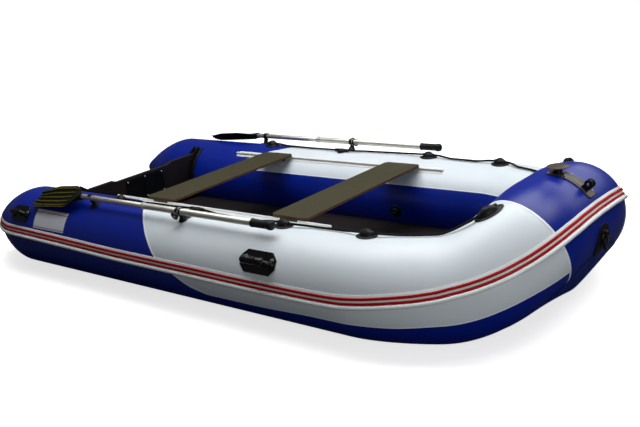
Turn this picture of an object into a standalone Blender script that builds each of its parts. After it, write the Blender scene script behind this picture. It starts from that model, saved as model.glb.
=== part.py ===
"""Inflatable boat with a plywood transom, floorboards, bench seats and oars.

Metres, +Z up. X runs from the stern cones to the bow, Y to port, and the boat
stands on the flats of its side tubes at Z = 0. The origin is under the middle
of the boat's length.
"""

import math

import bmesh
import bpy
import numpy as np
from mathutils import Matrix, Vector

# Tubes: one run of round tube per side, bent round the bow, in three chambers
TUBE_RADIUS = 0.2275
TUBE_SIDES = 24
TUBE_HALF_SPACING = 0.61
TUBE_WALL = 0.0012
STRAIGHT_END = 2.915
BOW_AXIS_X = 3.52
BOW_FLAT_HALF = 0.16
BOW_HANDLE_AFT = 0.14
BOW_HANDLE_SIDE = 0.315
BOW_RISE = 0.165
RISE_START = 0.635
RISE_END = 0.105
SEAM_BACK = 0.243
STERN_TIP_X = 0.060
CONE_LENGTH = 0.42
CONE_TIP_RADIUS = 0.034
CONE_POWER = 1.45
GAP = 0.0003
LENGTH_MIDDLE = 1.916
GROUND = TUBE_RADIUS * math.cos(math.pi / TUBE_SIDES)
SIDES = {"starboard": -1.0, "port": 1.0}

# Hull bottom and keel
SHEET = 0.0012
KEEL_TUBE_SPAN = (0.80, 2.86)
KEEL_TUBE_SIDES = 16

# Rub strake
STRAKE_ANGLE = 4.0
STRAKE_STERN_RISE = 5.5
STRAKE_BOW_RISE = 17.5

# Floor
FLOOR_TOP = 0.127
FLOOR_THICK = 0.012
FLOOR_CLEAR = 0.0008
FLOOR_JOINTS = (0.765, 1.84, 2.90)

# Transom
TRANSOM_X = 0.718
TRANSOM_THICK = 0.030
TRANSOM_TOP = 0.408
TRANSOM_NOTCH = 0.013
TRANSOM_NOTCH_HALF = 0.205

# Seats, whose ends stand on the beads of the rails
SEAT_LENGTH = 0.976
SEAT_WIDTH = 0.228
SEAT_THICK = 0.012
SEAT_AFT_X = (1.36, 2.290)
SEAT_OVER_BEAD = 0.0273
RAIL_SPAN = (1.10, 2.66)
RAIL_BEAD = 0.0055
RAIL_INSET = 0.01025
BEAD_LIFT = 0.0090
BEAD_OFFSET = SEAT_LENGTH / 2 - RAIL_INSET - TUBE_HALF_SPACING
RAIL_ANGLE = math.degrees(math.acos(BEAD_OFFSET / (TUBE_RADIUS + BEAD_LIFT)))
BEAD_HEIGHT = GROUND + (TUBE_RADIUS + BEAD_LIFT) * math.sin(math.radians(RAIL_ANGLE))
SEAT_TOP = BEAD_HEIGHT + SEAT_OVER_BEAD

# Oars, which lie over the tubes' shoulders
OAR_OUT = 0.102
OAR_RISE = 0.2609
OAR_Y = TUBE_HALF_SPACING + OAR_OUT
OAR_Z = GROUND + OAR_RISE
ROWLOCK_X = 1.885
SHAFT_RADIUS_LOWER = 0.0145
SHAFT_RADIUS_UPPER = 0.0165
SHAFT_WALL = 0.0014
GRIP_RADIUS = 0.0190
SHAFT_JOINT_X = 1.60
NECK_X = 1.085
GRIP_X = (2.385, 2.517)
BLADE_LENGTH = 0.42
BLADE_WIDTH = 0.165
BLADE_TIP_OUT = 0.010
BLADE_TIP_DROP = 0.035
BLADE_FACE_ANGLE = 62.0
BLADE_RIBS = 5
SOCKET_RADIUS = 0.0185

# Rope
ROPE_RADIUS = 0.0052


def clear_scene():
    for obj in list(bpy.data.objects):
        bpy.data.objects.remove(obj)


def make_collection(name):
    found = bpy.data.collections.new(name)
    bpy.context.scene.collection.children.link(found)
    return found


clear_scene()
PARTS = make_collection("inflatable_boat")
CUTTERS = make_collection("cutters")
CUTTERS.hide_render = True


def make_material(name, color, roughness, metallic=0.0):
    mat = bpy.data.materials.new(name)
    mat.use_nodes = True
    shader = mat.node_tree.nodes["Principled BSDF"]
    shader.inputs["Base Color"].default_value = (*color, 1.0)
    shader.inputs["Roughness"].default_value = roughness
    shader.inputs["Metallic"].default_value = metallic
    mat.diffuse_color = (*color, 1.0)
    return mat


BLUE_PVC = make_material("blue_pvc", (0.010, 0.036, 0.31), 0.38)
WHITE_PVC = make_material("white_pvc", (0.80, 0.84, 0.86), 0.42)
GREY_PVC = make_material("grey_pvc", (0.27, 0.27, 0.29), 0.5)
STRAKE_WHITE = make_material("strake_white", (0.78, 0.80, 0.76), 0.45)
STRAKE_RED = make_material("strake_red", (0.42, 0.008, 0.008), 0.45)
PLYWOOD = make_material("plywood_olive", (0.115, 0.102, 0.052), 0.55)
DARK_WOOD = make_material("transom_ply", (0.020, 0.013, 0.013), 0.5)
BLACK_PLASTIC = make_material("black_plastic", (0.010, 0.011, 0.012), 0.42)
BLADE_PLASTIC = make_material("blade_plastic", (0.030, 0.028, 0.006), 0.4)
ALUMINIUM = make_material("aluminium", (0.52, 0.51, 0.48), 0.32, 1.0)
STEEL = make_material("steel", (0.45, 0.44, 0.43), 0.3, 1.0)
BLACK_RUBBER = make_material("black_rubber", (0.012, 0.012, 0.013), 0.7)


def link(obj, collection=None):
    (collection or PARTS).objects.link(obj)
    return obj


def new_object(name, mesh, mat, collection=None):
    obj = link(bpy.data.objects.new(name, mesh), collection)
    for one in mat if isinstance(mat, (list, tuple)) else [mat]:
        mesh.materials.append(one)
    return obj


def smooth(mesh, angle=32.0):
    mesh.shade_smooth()
    mesh.set_sharp_from_angle(angle=math.radians(angle))


def ease(t):
    t = min(max(t, 0.0), 1.0)
    return t * t * (3.0 - 2.0 * t)


def place(x, y, z):
    """A point from stern tip, centre plane and tube centre height, in the boat's frame."""
    return Vector((x - LENGTH_MIDDLE, y, z + GROUND))


def bezier(t):
    a = Vector((STRAIGHT_END, TUBE_HALF_SPACING))
    d = Vector((BOW_AXIS_X, BOW_FLAT_HALF))
    b = a + Vector((BOW_HANDLE_AFT, 0.0))
    c = d + Vector((0.0, BOW_HANDLE_SIDE))
    return a * (1 - t) ** 3 + b * 3 * t * (1 - t) ** 2 + c * 3 * t * t * (1 - t) + d * t ** 3


def centreline_table():
    """Half of the tubes' centreline, from the middle of the bow aft, with the run back from there."""
    points = [Vector((BOW_AXIS_X, BOW_FLAT_HALF * k / 8)) for k in range(8)]
    points += [bezier(1 - k / 160) for k in range(160)]
    points.append(Vector((STRAIGHT_END, TUBE_HALF_SPACING)))
    points.append(Vector((STERN_TIP_X, TUBE_HALF_SPACING)))
    runs = [0.0]
    for a, b in zip(points, points[1:]):
        runs.append(runs[-1] + (b - a).length)
    return np.array(runs), np.array([tuple(p) for p in points])


RUNS, CENTRES = centreline_table()
RUN_STRAIGHT = float(RUNS[-2])
RUN_STERN = float(RUNS[-1])


def run_at_x(x):
    """The run back from the bow at a point x of the straight tube."""
    return RUN_STRAIGHT + STRAIGHT_END - x


def rise(run):
    """Sheer of the bow: half a cosine wave along the run, whose bend is wider than the tube."""
    t = min(max((RISE_START - abs(run)) / (RISE_START - RISE_END), 0.0), 1.0)
    return BOW_RISE * (1 - math.cos(math.pi * t)) / 2


def centre(run, side=1.0):
    """Centre of the tube, at this run back from the middle of the bow."""
    back = abs(run)
    flip = side if run >= 0 else -side
    x = float(np.interp(back, RUNS, CENTRES[:, 0]))
    y = float(np.interp(back, RUNS, CENTRES[:, 1]))
    return Vector((x, y * flip, rise(back)))


def station(run, side=1.0):
    """Centre, outboard direction, up direction and forward direction of the tube at this run."""
    step = 0.004
    ahead = centre(run - step, side) if run - step > -RUN_STERN else centre(run, side)
    aft = centre(min(run + step, RUN_STERN), side)
    forward = (ahead - aft).normalized()
    out = forward.cross(Vector((0, 0, 1))).normalized()
    up = out.cross(forward)
    if side > 0:
        out = -out
    return centre(run, side), out, up, forward


def tube_radius(run):
    t = (RUN_STERN - abs(run)) / CONE_LENGTH
    if t >= 1.0:
        return TUBE_RADIUS
    return CONE_TIP_RADIUS + (TUBE_RADIUS - CONE_TIP_RADIUS) * (1 - (1 - t) ** CONE_POWER)


def on_tube(run, side, angle, lift=0.0):
    """A point on the tube: 0 degrees is outboard, 90 the top and 180 inboard."""
    mid, out, up, _ = station(run, side)
    a = math.radians(angle)
    p = mid + (out * math.cos(a) + up * math.sin(a)) * (tube_radius(run) + lift)
    return place(*p)


def outward(run, side, angle):
    _, out, up, _ = station(run, side)
    a = math.radians(angle)
    return out * math.cos(a) + up * math.sin(a)


def loft(name, rings, mat, collection=None, cyclic=True, caps=True):
    """A skin through rings that have the same number of points."""
    bm = bmesh.new()
    rows = [[bm.verts.new(p) for p in ring] for ring in rings]
    count = len(rings[0])
    for low, high in zip(rows, rows[1:]):
        for k in range(count if cyclic else count - 1):
            nxt = (k + 1) % count
            bm.faces.new((low[k], low[nxt], high[nxt], high[k]))
    if caps:
        bm.faces.new(rows[0][::-1])
        bm.faces.new(rows[-1])
        bmesh.ops.recalc_face_normals(bm, faces=bm.faces)
    mesh = bpy.data.meshes.new(name)
    bm.to_mesh(mesh)
    bm.free()
    return new_object(name, mesh, mat, collection)


def frame_matrix(origin, x_axis, z_axis):
    """A placement with local X near x_axis and local Z along z_axis."""
    z = z_axis.normalized()
    y = z.cross(x_axis).normalized()
    x = y.cross(z)
    matrix = Matrix((x, y, z)).transposed().to_4x4()
    matrix.translation = origin
    return matrix


def cut(obj, cutter, operation="DIFFERENCE"):
    mod = obj.modifiers.new(operation.title(), "BOOLEAN")
    mod.operation = operation
    mod.solver = "EXACT"
    mod.object = cutter
    cutter.hide_render = True
    cutter.display_type = "WIRE"
    return mod


def box(name, size, matrix, mat, collection=None, bevel=0.0, segments=2):
    bm = bmesh.new()
    bmesh.ops.create_cube(bm, size=1.0)
    bmesh.ops.scale(bm, vec=Vector(size), verts=bm.verts)
    mesh = bpy.data.meshes.new(name)
    bm.to_mesh(mesh)
    bm.free()
    obj = new_object(name, mesh, mat, collection)
    obj.matrix_world = matrix
    if bevel:
        mod = obj.modifiers.new("Edges", "BEVEL")
        mod.width = bevel
        mod.segments = segments
        mod.limit_method = "ANGLE"
    return obj


def cylinder(name, radius, length, matrix, mat, collection=None, sides=24, top=None):
    """A round bar along local Z, from 0 to its length."""
    bm = bmesh.new()
    bmesh.ops.create_cone(
        bm,
        cap_ends=True,
        segments=sides,
        radius1=radius,
        radius2=radius if top is None else top,
        depth=length,
        matrix=Matrix.Translation((0, 0, length / 2)),
    )
    mesh = bpy.data.meshes.new(name)
    bm.to_mesh(mesh)
    bm.free()
    smooth(mesh)
    obj = new_object(name, mesh, mat, collection)
    obj.matrix_world = matrix
    return obj


def turned(name, profile, matrix, mat, collection=None, steps=24, closed=False):
    """A turned piece round local Z. The profile runs top to bottom on its outer side."""
    bm = bmesh.new()
    verts = [bm.verts.new((r, 0.0, z)) for r, z in profile]
    for a, b in zip(verts, verts[1:]):
        bm.edges.new((a, b))
    if closed:
        bm.edges.new((verts[-1], verts[0]))
    mesh = bpy.data.meshes.new(name)
    bm.to_mesh(mesh)
    bm.free()
    obj = new_object(name, mesh, mat, collection)
    obj.matrix_world = matrix
    mod = obj.modifiers.new("Turn", "SCREW")
    mod.steps = steps
    mod.render_steps = steps
    mod.use_merge_vertices = True
    mod.merge_threshold = 0.00005
    mod.use_smooth_shade = True
    return obj


def wire(name, points, radius, mat, collection=None, resolution=2, cyclic=False, radii=None):
    curve = bpy.data.curves.new(name, "CURVE")
    curve.dimensions = "3D"
    curve.bevel_depth = radius
    curve.bevel_resolution = resolution
    curve.use_fill_caps = True
    curve.twist_mode = "MINIMUM"
    spline = curve.splines.new("POLY")
    spline.points.add(len(points) - 1)
    for k, p in enumerate(points):
        spline.points[k].co = (*p, 1.0)
        spline.points[k].radius = radii[k] if radii else 1.0
    spline.use_cyclic_u = cyclic
    spline.use_smooth = True
    curve.materials.append(mat)
    return link(bpy.data.objects.new(name, curve), collection)


def as_mesh(obj, collection=None):
    """The evaluated shape of an object as a mesh object of the same name, with its caps welded."""
    bpy.context.view_layer.update()
    graph = bpy.context.evaluated_depsgraph_get()
    mesh = bpy.data.meshes.new_from_object(obj.evaluated_get(graph))
    name = obj.name
    matrix = obj.matrix_world.copy()
    bpy.data.objects.remove(obj)
    bm = bmesh.new()
    bm.from_mesh(mesh)
    bmesh.ops.remove_doubles(bm, verts=bm.verts, dist=0.00001)
    bmesh.ops.recalc_face_normals(bm, faces=bm.faces)
    bm.to_mesh(mesh)
    bm.free()
    mesh.name = name
    made = link(bpy.data.objects.new(name, mesh), collection)
    made.matrix_world = matrix
    return made


def outline(name, points, thickness, matrix, mat, collection=None):
    """A flat outline, extruded by its thickness from local Z = 0."""
    curve = bpy.data.curves.new(name, "CURVE")
    curve.dimensions = "2D"
    curve.fill_mode = "BOTH"
    curve.extrude = thickness / 2
    spline = curve.splines.new("POLY")
    spline.points.add(len(points) - 1)
    for k, (x, y) in enumerate(points):
        spline.points[k].co = (x, y, 0.0, 1.0)
    spline.use_cyclic_u = True
    curve.materials.append(mat)
    obj = link(bpy.data.objects.new(name, curve), collection)
    obj.matrix_world = matrix @ Matrix.Translation((0, 0, thickness / 2))
    return as_mesh(obj, collection)


def join(base, extras):
    """Boolean union of the extras into the base."""
    for extra in extras:
        cut(base, extra, "UNION")
    return base


def rounded(width, depth, radius, steps=4):
    """A rectangle with round corners, about its middle."""
    points = []
    for cx, cy, start in ((1, 1, 0), (-1, 1, 90), (-1, -1, 180), (1, -1, 270)):
        for k in range(steps + 1):
            a = math.radians(start + 90 * k / steps)
            points.append((
                cx * (width / 2 - radius) + radius * math.cos(a),
                cy * (depth / 2 - radius) + radius * math.sin(a),
            ))
    return points


# Tubes

RING_ANGLES = [360.0 * (k + 0.5) / TUBE_SIDES for k in range(TUBE_SIDES)]
VALVE_RUN = run_at_x(2.40)
VALVE_ANGLE = 187.0
VALVE_BORE = 0.0165


def tube_ring(run, side):
    return [on_tube(run, side, a) for a in RING_ANGLES]


def side_runs():
    """Rings of a side chamber, from its stern tip to the bow seam."""
    cone = [RUN_STERN - CONE_LENGTH * f for f in (0.0, 0.06, 0.2, 0.42, 0.7, 1.0)]
    plain = [run_at_x(x) for x in (1.5, STRAIGHT_END)]
    count = 7
    bend = [RUN_STRAIGHT + (SEAM_BACK - RUN_STRAIGHT) * k / count for k in range(1, count + 1)]
    bend[-1] += GAP / 2
    return cone + plain + bend


def bow_runs():
    """Rings of the bow chamber, from its port seam to its starboard seam."""
    reach = SEAM_BACK - GAP / 2
    return [reach - 2 * reach * k / 5 for k in range(6)]


def shell(obj, thickness):
    mod = obj.modifiers.new("Fabric", "SOLIDIFY")
    mod.thickness = thickness
    mod.offset = -1.0
    mod.use_even_offset = True
    return mod


def valve_boss(tube, run, side, angle):
    """Opens the chamber at its valve and adds the valve's flange and rim."""
    axis = outward(run, side, angle)
    seat = on_tube(run, side, angle)
    forward = Vector((1, 0, 0)) if abs(axis.x) < 0.7 else Vector((0, 1, 0))
    matrix = frame_matrix(seat, forward, axis)
    rim = turned(
        tube.name + "_valve_rim",
        [
            (0.0, 0.009), (0.0215, 0.009), (0.0225, 0.008), (0.0235, 0.0045),
            (0.036, 0.003), (0.037, -0.006), (0.0, -0.006),
        ],
        matrix,
        BLACK_PLASTIC,
        CUTTERS,
        steps=18,
    )
    bore = cylinder(
        tube.name + "_valve_bore",
        VALVE_BORE,
        0.06,
        matrix @ Matrix.Translation((0, 0, -0.03)),
        BLACK_PLASTIC,
        CUTTERS,
        sides=18,
    )
    cut(tube, rim, "UNION")
    cut(tube, bore)
    return matrix


def valve_cap(name, matrix):
    """A screw cap with a bar grip, seated on the valve's rim."""
    seat = 0.009 + GAP
    cap = turned(
        name,
        [
            (0.0, seat + 0.008), (0.016, seat + 0.008), (0.0195, seat + 0.006), (0.0205, seat + 0.003),
            (0.0205, seat), (0.015, seat), (0.015, seat - 0.010), (0.0, seat - 0.010),
        ],
        matrix,
        BLACK_PLASTIC,
        steps=14,
    )
    bar = matrix @ Matrix.Translation((0, 0, seat + 0.011))
    grip = box(name + "_grip", (0.030, 0.006, 0.012), bar, BLACK_PLASTIC, CUTTERS, bevel=0.0015, segments=1)
    cut(cap, grip, "UNION")
    return cap


def color_rings(obj, choose):
    """Gives each outer face its fabric by where it lies."""
    for poly in obj.data.polygons:
        poly.material_index = choose(poly.center)
    smooth(obj.data, 40.0)


def side_fabric(center):
    """Blue stern and lower tube, white side panel, as the fabric panels lie."""
    x = center.x + LENGTH_MIDDLE
    z = center.z - GROUND
    out = abs(center.y) - TUBE_HALF_SPACING
    angle = math.degrees(math.atan2(z, out)) if x < STRAIGHT_END else 60.0
    if x < 1.55 or angle > 148.0 or angle < -26.0:
        return 0
    return 1


for label, side in SIDES.items():
    rings = [tube_ring(r, side) for r in side_runs()]
    tube = loft("tube_" + label, rings, [BLUE_PVC, WHITE_PVC, BLACK_PLASTIC])
    color_rings(tube, side_fabric)
    shell(tube, TUBE_WALL)
    matrix = valve_boss(tube, VALVE_RUN, side, VALVE_ANGLE)
    valve_cap("valve_cap_" + label, matrix)

tube_bow = loft("tube_bow", [tube_ring(r, 1.0) for r in bow_runs()], [BLUE_PVC, WHITE_PVC, BLACK_PLASTIC])
color_rings(tube_bow, lambda center: 0)
shell(tube_bow, TUBE_WALL)
bow_valve_matrix = valve_boss(tube_bow, 0.0, 1.0, 182.0)
valve_cap("valve_cap_bow", bow_valve_matrix)


# Rub strake: a flange with two stripes over a thick roll, in the three chambers' lengths

STRAKE_PROFILE = [
    (0.0330, 0.0008), (0.0320, 0.0030), (0.0250, 0.0042), (0.0130, 0.0060), (0.0070, 0.0064),
    (0.0010, 0.0074), (-0.0060, 0.0082), (-0.0100, 0.0150), (-0.0180, 0.0180), (-0.0270, 0.0135),
    (-0.0330, 0.0008),
]
STRAKE_INNER = [(-0.0165, 0.0008), (0.0, 0.0008), (0.0165, 0.0008)]


def strake_angle(run):
    """The strake climbs the tube towards the bow, and a little towards the stern."""
    stern = ease((run - RUN_STRAIGHT - 1.15) / 1.2)
    bow = ease((RUN_STRAIGHT + 0.05 - run) / 0.55)
    return STRAKE_ANGLE + STRAKE_STERN_RISE * stern + STRAKE_BOW_RISE * bow


def strake_ring(run, side):
    ring = []
    mid = strake_angle(abs(run))
    radius = tube_radius(run)
    taper = ease((RUN_STERN - abs(run)) / 0.16 + 0.05)
    for up, lift in STRAKE_PROFILE + STRAKE_INNER:
        angle = mid + math.degrees(up * (0.55 + 0.45 * taper) / max(radius, 0.1))
        ring.append(on_tube(run, side, angle, max(lift * (0.35 + 0.65 * taper), 0.0008)))
    return ring


def strake_faces(obj):
    """Two red stripes along the flange."""
    count = len(STRAKE_PROFILE) + len(STRAKE_INNER)
    for poly in obj.data.polygons:
        if len(poly.vertices) == 4:
            row = min(v % count for v in poly.vertices)
            poly.material_index = 1 if row in (3, 5) else 0
    smooth(obj.data, 45.0)


def strake_runs():
    """The strake shares the tube's rings, so the two bend alike."""
    return [r for r in side_runs() if r < RUN_STERN - 0.055 * CONE_LENGTH]


for label, side in SIDES.items():
    rings = [strake_ring(r, side) for r in strake_runs()]
    strake = loft("strake_" + label, rings, [STRAKE_WHITE, STRAKE_RED])
    strake_faces(strake)
strake = loft("strake_bow", [strake_ring(r, 1.0) for r in bow_runs()], [STRAKE_WHITE, STRAKE_RED])
strake_faces(strake)


# Hull bottom: a fabric sheet from tube to tube with a shallow V, and the air keel that fills it

SHEET_STERN_X = TRANSOM_X - 0.045


def sheet_edge_angle(run):
    """Where the bottom fabric leaves the tube: under it inboard, and under its front at the bow."""
    return -112.0 + 40.0 * ease((RISE_START + 0.02 - run) / 0.50)


def sheet_keel(x):
    """Height of the keel line over the ground."""
    return 0.0132 + 0.112 * ease((x - 3.34) / 0.34)


def sheet_edge(run):
    return on_tube(run, 1.0, sheet_edge_angle(run), SHEET / 2 + 0.0018)


def sheet_middle(run):
    """Height of the sheet's middle, which never stands over its edges."""
    edge = sheet_edge(run)
    return min(sheet_keel(edge.x + LENGTH_MIDDLE), edge.z)


def sheet_ring(run):
    """One cross strip of the sheet, from the starboard edge to the port edge."""
    edge = sheet_edge(run)
    keel = sheet_middle(run)
    points = []
    for k in range(-4, 5):
        f = k / 4
        drop = (edge.z - keel) * (1 - abs(f) ** 1.25)
        points.append(Vector((edge.x, edge.y * f, edge.z - drop)))
    return points


sheet_count = 10
sheet_runs = [run_at_x(SHEET_STERN_X), run_at_x(1.5), run_at_x(2.3), RUN_STRAIGHT]
sheet_runs += [RUN_STRAIGHT + (0.03 - RUN_STRAIGHT) * k / sheet_count for k in range(1, sheet_count + 1)]
hull_bottom = loft("hull_bottom", [sheet_ring(r) for r in sheet_runs], GREY_PVC, cyclic=False, caps=False)
hull_bottom.modifiers.new("Fabric", "SOLIDIFY").thickness = SHEET
hull_bottom.modifiers["Fabric"].offset = 0.0
smooth(hull_bottom.data, 50.0)

def keel_ring(x, size):
    """A ring of the air keel, which fills the space between the bottom and the floorboards."""
    low = sheet_middle(run_at_x(x)) + SHEET / 2 + GAP
    high = FLOOR_TOP - FLOOR_THICK - GAP
    radius = size * (high - low) / 2 / math.cos(math.pi / KEEL_TUBE_SIDES)
    middle = low + size * (high - low) / 2
    angles = [2 * math.pi * (k + 0.5) / KEEL_TUBE_SIDES for k in range(KEEL_TUBE_SIDES)]
    return [Vector((x - LENGTH_MIDDLE, radius * math.sin(a), middle - radius * math.cos(a))) for a in angles]


KEEL_END = [(0.0, 0.45), (0.08, 0.80), (0.24, 1.0)]
keel_rings = [keel_ring(KEEL_TUBE_SPAN[0] + back, size) for back, size in KEEL_END]
keel_rings += [keel_ring(KEEL_TUBE_SPAN[1] - back, size) for back, size in reversed(KEEL_END)]
keel = loft("keel_tube", keel_rings, GREY_PVC)
smooth(keel.data, 50.0)
shell(keel, TUBE_WALL)
keel_top = Vector((ROWLOCK_X - LENGTH_MIDDLE, 0.0, FLOOR_TOP - FLOOR_THICK - 0.015))
cut(keel, cylinder("keel_tube_inlet", 0.009, 0.03, Matrix.Translation(keel_top), GREY_PVC, CUTTERS, sides=12))


# Floorboards: two boards across the boat and a pointed one in the bow

FLOOR_GAP = 0.0006
BOW_BOARD_CLEAR = 0.006
FLOOR_LEVEL = FLOOR_TOP - GROUND
FLOOR_HALF = TUBE_HALF_SPACING - math.sqrt(TUBE_RADIUS ** 2 - FLOOR_LEVEL ** 2) - FLOOR_CLEAR


def board(name, aft, fore):
    corners = [(aft, -FLOOR_HALF), (fore, -FLOOR_HALF), (fore, FLOOR_HALF), (aft, FLOOR_HALF)]
    points = [(x - LENGTH_MIDDLE, y) for x, y in corners]
    return outline(name, points, FLOOR_THICK, Matrix.Translation((0, 0, FLOOR_TOP - FLOOR_THICK)), PLYWOOD)


def bow_board(name, aft):
    """The pointed board that follows the inside of the bow's tubes."""
    edge = [(aft, FLOOR_HALF - BOW_BOARD_CLEAR)]
    for k in range(17):
        run = RUN_STRAIGHT + 0.02 - (RUN_STRAIGHT + 0.02 - 0.50) * k / 16
        mid, out, _, _ = station(run, 1.0)
        nearest = min((abs(level - mid.z) for level in (FLOOR_LEVEL, FLOOR_LEVEL - FLOOR_THICK)))
        reach = math.sqrt(max(TUBE_RADIUS ** 2 - nearest ** 2, 0.0)) + BOW_BOARD_CLEAR
        point = mid - out * reach
        if point.x > edge[-1][0] + 0.02 and point.y < edge[-1][1]:
            edge.append((point.x, point.y))
    edge = [(x - LENGTH_MIDDLE, y) for x, y in edge if y > 0.06]
    points = [(x, -y) for x, y in edge] + edge[::-1]
    return outline(name, points, FLOOR_THICK, Matrix.Translation((0, 0, FLOOR_TOP - FLOOR_THICK)), PLYWOOD)


board("floorboard_aft", FLOOR_JOINTS[0], FLOOR_JOINTS[1] - FLOOR_GAP)
board("floorboard_fore", FLOOR_JOINTS[1], FLOOR_JOINTS[2] - FLOOR_GAP)
bow_board("floorboard_bow", FLOOR_JOINTS[2])


# Transom: marine plywood between the tubes, with motor plates, corner holders and a drain plug

TRANSOM_LOW = 0.0152
TRANSOM_CLEAR = 0.0062


def transom_outline():
    """The board's hollow ends follow the tubes, and its top is cut down for the motor."""
    radius = TUBE_RADIUS + TRANSOM_CLEAR
    low = math.asin((TRANSOM_LOW - GROUND) / radius)
    high = math.asin((TRANSOM_TOP - GROUND) / radius)
    left = []
    for k in range(14):
        a = math.pi - low - (high - low) * k / 13
        left.append((TUBE_HALF_SPACING + radius * math.cos(a), GROUND + radius * math.sin(a)))
    crown = [(TRANSOM_NOTCH_HALF + 0.03, TRANSOM_TOP), (TRANSOM_NOTCH_HALF, TRANSOM_TOP - TRANSOM_NOTCH)]
    half = left + crown
    return half + [(-y, z) for y, z in reversed(half)]


def section_matrix(x):
    """Local X to port, local Y up and local Z forward, at this distance from the stern tip."""
    return Matrix(((0, 0, 1, x - LENGTH_MIDDLE), (1, 0, 0, 0), (0, 1, 0, 0), (0, 0, 0, 1)))


def polar(side, angle, lift):
    """A point of the straight tube's section, across the boat and up."""
    a = math.radians(angle)
    r = TUBE_RADIUS + lift
    return (side * (TUBE_HALF_SPACING + r * math.cos(a)), GROUND + r * math.sin(a))


AFT_FACE = TRANSOM_X - TRANSOM_THICK / 2
transom = outline("transom", transom_outline(), TRANSOM_THICK, section_matrix(AFT_FACE), DARK_WOOD)

DRAIN_Y = 0.28
DRAIN_Z = 0.098
DRAIN_BORE = 0.014
DRAIN_STEM = DRAIN_BORE - GAP
drain_place = Vector((AFT_FACE - LENGTH_MIDDLE, DRAIN_Y, DRAIN_Z))
drain_matrix = frame_matrix(drain_place, Vector((0, 0, 1)), Vector((-1, 0, 0)))
bore_matrix = drain_matrix @ Matrix.Translation((0, 0, -0.05))
cut(transom, cylinder("transom_drain_bore", DRAIN_BORE, 0.08, bore_matrix, DARK_WOOD, CUTTERS, sides=20))
plug = turned(
    "drain_plug",
    [
        (0.0, 0.010), (0.016, 0.010), (0.018, 0.008), (0.018, GAP), (DRAIN_STEM, GAP), (DRAIN_STEM, -0.024),
        (0.011, -0.026), (0.0, -0.026),
    ],
    drain_matrix,
    BLACK_PLASTIC,
    steps=14,
)
grip_matrix = drain_matrix @ Matrix.Translation((0, 0, 0.014))
plug_grip = box("drain_plug_grip", (0.006, 0.026, 0.014), grip_matrix, BLACK_PLASTIC, CUTTERS, 0.0015, 1)
cut(plug, plug_grip, "UNION")


PLATE_SIZE = (0.30, 0.150)
PLATE_THICK = 0.007
PLATE_MIDDLE_Z = 0.309


def motor_plate(name, x_face, direction):
    """A moulded plate with two recessed pads, screwed over the middle of the transom."""
    place_on_board = Vector((x_face - LENGTH_MIDDLE, 0, PLATE_MIDDLE_Z))
    matrix = frame_matrix(place_on_board, Vector((0, direction, 0)), Vector((direction, 0, 0)))
    plate = outline(name, rounded(*PLATE_SIZE, 0.012, 2), PLATE_THICK, matrix, BLACK_PLASTIC)
    for k, y in enumerate((-0.072, 0.072)):
        pad = outline(
            name + "_recess_" + str(k + 1),
            rounded(0.118, 0.112, 0.008, 2),
            0.01,
            matrix @ Matrix.Translation((y, 0, 0.004)),
            BLACK_PLASTIC,
            CUTTERS,
        )
        cut(plate, pad)
    return plate


motor_plate("motor_plate_inner", TRANSOM_X + TRANSOM_THICK / 2 + GAP, 1.0)
motor_plate("motor_plate_outer", TRANSOM_X - TRANSOM_THICK / 2 - GAP, -1.0)


HOLDER_ARC = (233.0, 117.0)
HOLDER_LENGTH = 0.090
CHEEK_REACH = 0.030
CHEEK_THICK = 0.006


def transom_holder(name, side):
    """A moulded U channel along the tube, which takes the edge of the transom."""
    inner = []
    outer = []
    count = 10
    for k in range(count + 1):
        angle = HOLDER_ARC[0] - (HOLDER_ARC[0] - HOLDER_ARC[1]) * k / count
        inner.append(polar(side, angle, GAP + 0.0011))
        outer.append(polar(side, angle, 0.0045))
    half = TRANSOM_THICK / 2
    base_matrix = section_matrix(TRANSOM_X - HOLDER_LENGTH / 2)
    base = outline(name, inner + outer[::-1], HOLDER_LENGTH, base_matrix, BLACK_RUBBER)
    cheeks = []
    for sign in (-1, 1):
        near = []
        far = []
        for k in range(count + 1):
            angle = HOLDER_ARC[0] - 2.0 - (HOLDER_ARC[0] - HOLDER_ARC[1] - 5.0) * k / count
            near.append(polar(side, angle, 0.003))
            far.append(polar(side, angle, CHEEK_REACH))
        start = half + GAP if sign > 0 else -half - GAP - CHEEK_THICK
        cheek_name = name + ("_cheek_fore" if sign > 0 else "_cheek_aft")
        matrix = section_matrix(TRANSOM_X + start)
        cheeks.append(outline(cheek_name, near + far[::-1], CHEEK_THICK, matrix, BLACK_RUBBER, CUTTERS))
    return join(base, cheeks)


for label, side in SIDES.items():
    transom_holder("transom_holder_" + label, side)


# Seat rails and the bench seats that slide on them

def bead_arc(radius, start, end, steps):
    """Points round the bead, as (degrees round the tube, lift), from start to end degrees."""
    points = []
    for k in range(steps + 1):
        a = math.radians(start + (end - start) * k / steps)
        sweep = math.degrees(radius * math.sin(a) / (TUBE_RADIUS + BEAD_LIFT))
        points.append((RAIL_ANGLE + sweep, BEAD_LIFT + radius * math.cos(a)))
    return points


def seat_rail(name, side):
    """A flange on the tube with a round bead on a thin stem."""
    wing = 5.5
    under = [(RAIL_ANGLE + wing - wing * k / 2, GAP + 0.0003) for k in range(5)]
    stem = 0.0014
    bead = bead_arc(RAIL_BEAD, -160.0, 160.0, 10)
    over = [(RAIL_ANGLE - wing, 0.0022), (RAIL_ANGLE - math.degrees(stem / TUBE_RADIUS), 0.0024)]
    back = [(RAIL_ANGLE + math.degrees(stem / TUBE_RADIUS), 0.0024), (RAIL_ANGLE + wing, 0.0022)]
    points = [polar(side, a, lift) for a, lift in under + over + bead + back]
    return outline(name, points, RAIL_SPAN[1] - RAIL_SPAN[0], section_matrix(RAIL_SPAN[0]), WHITE_PVC)


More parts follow.
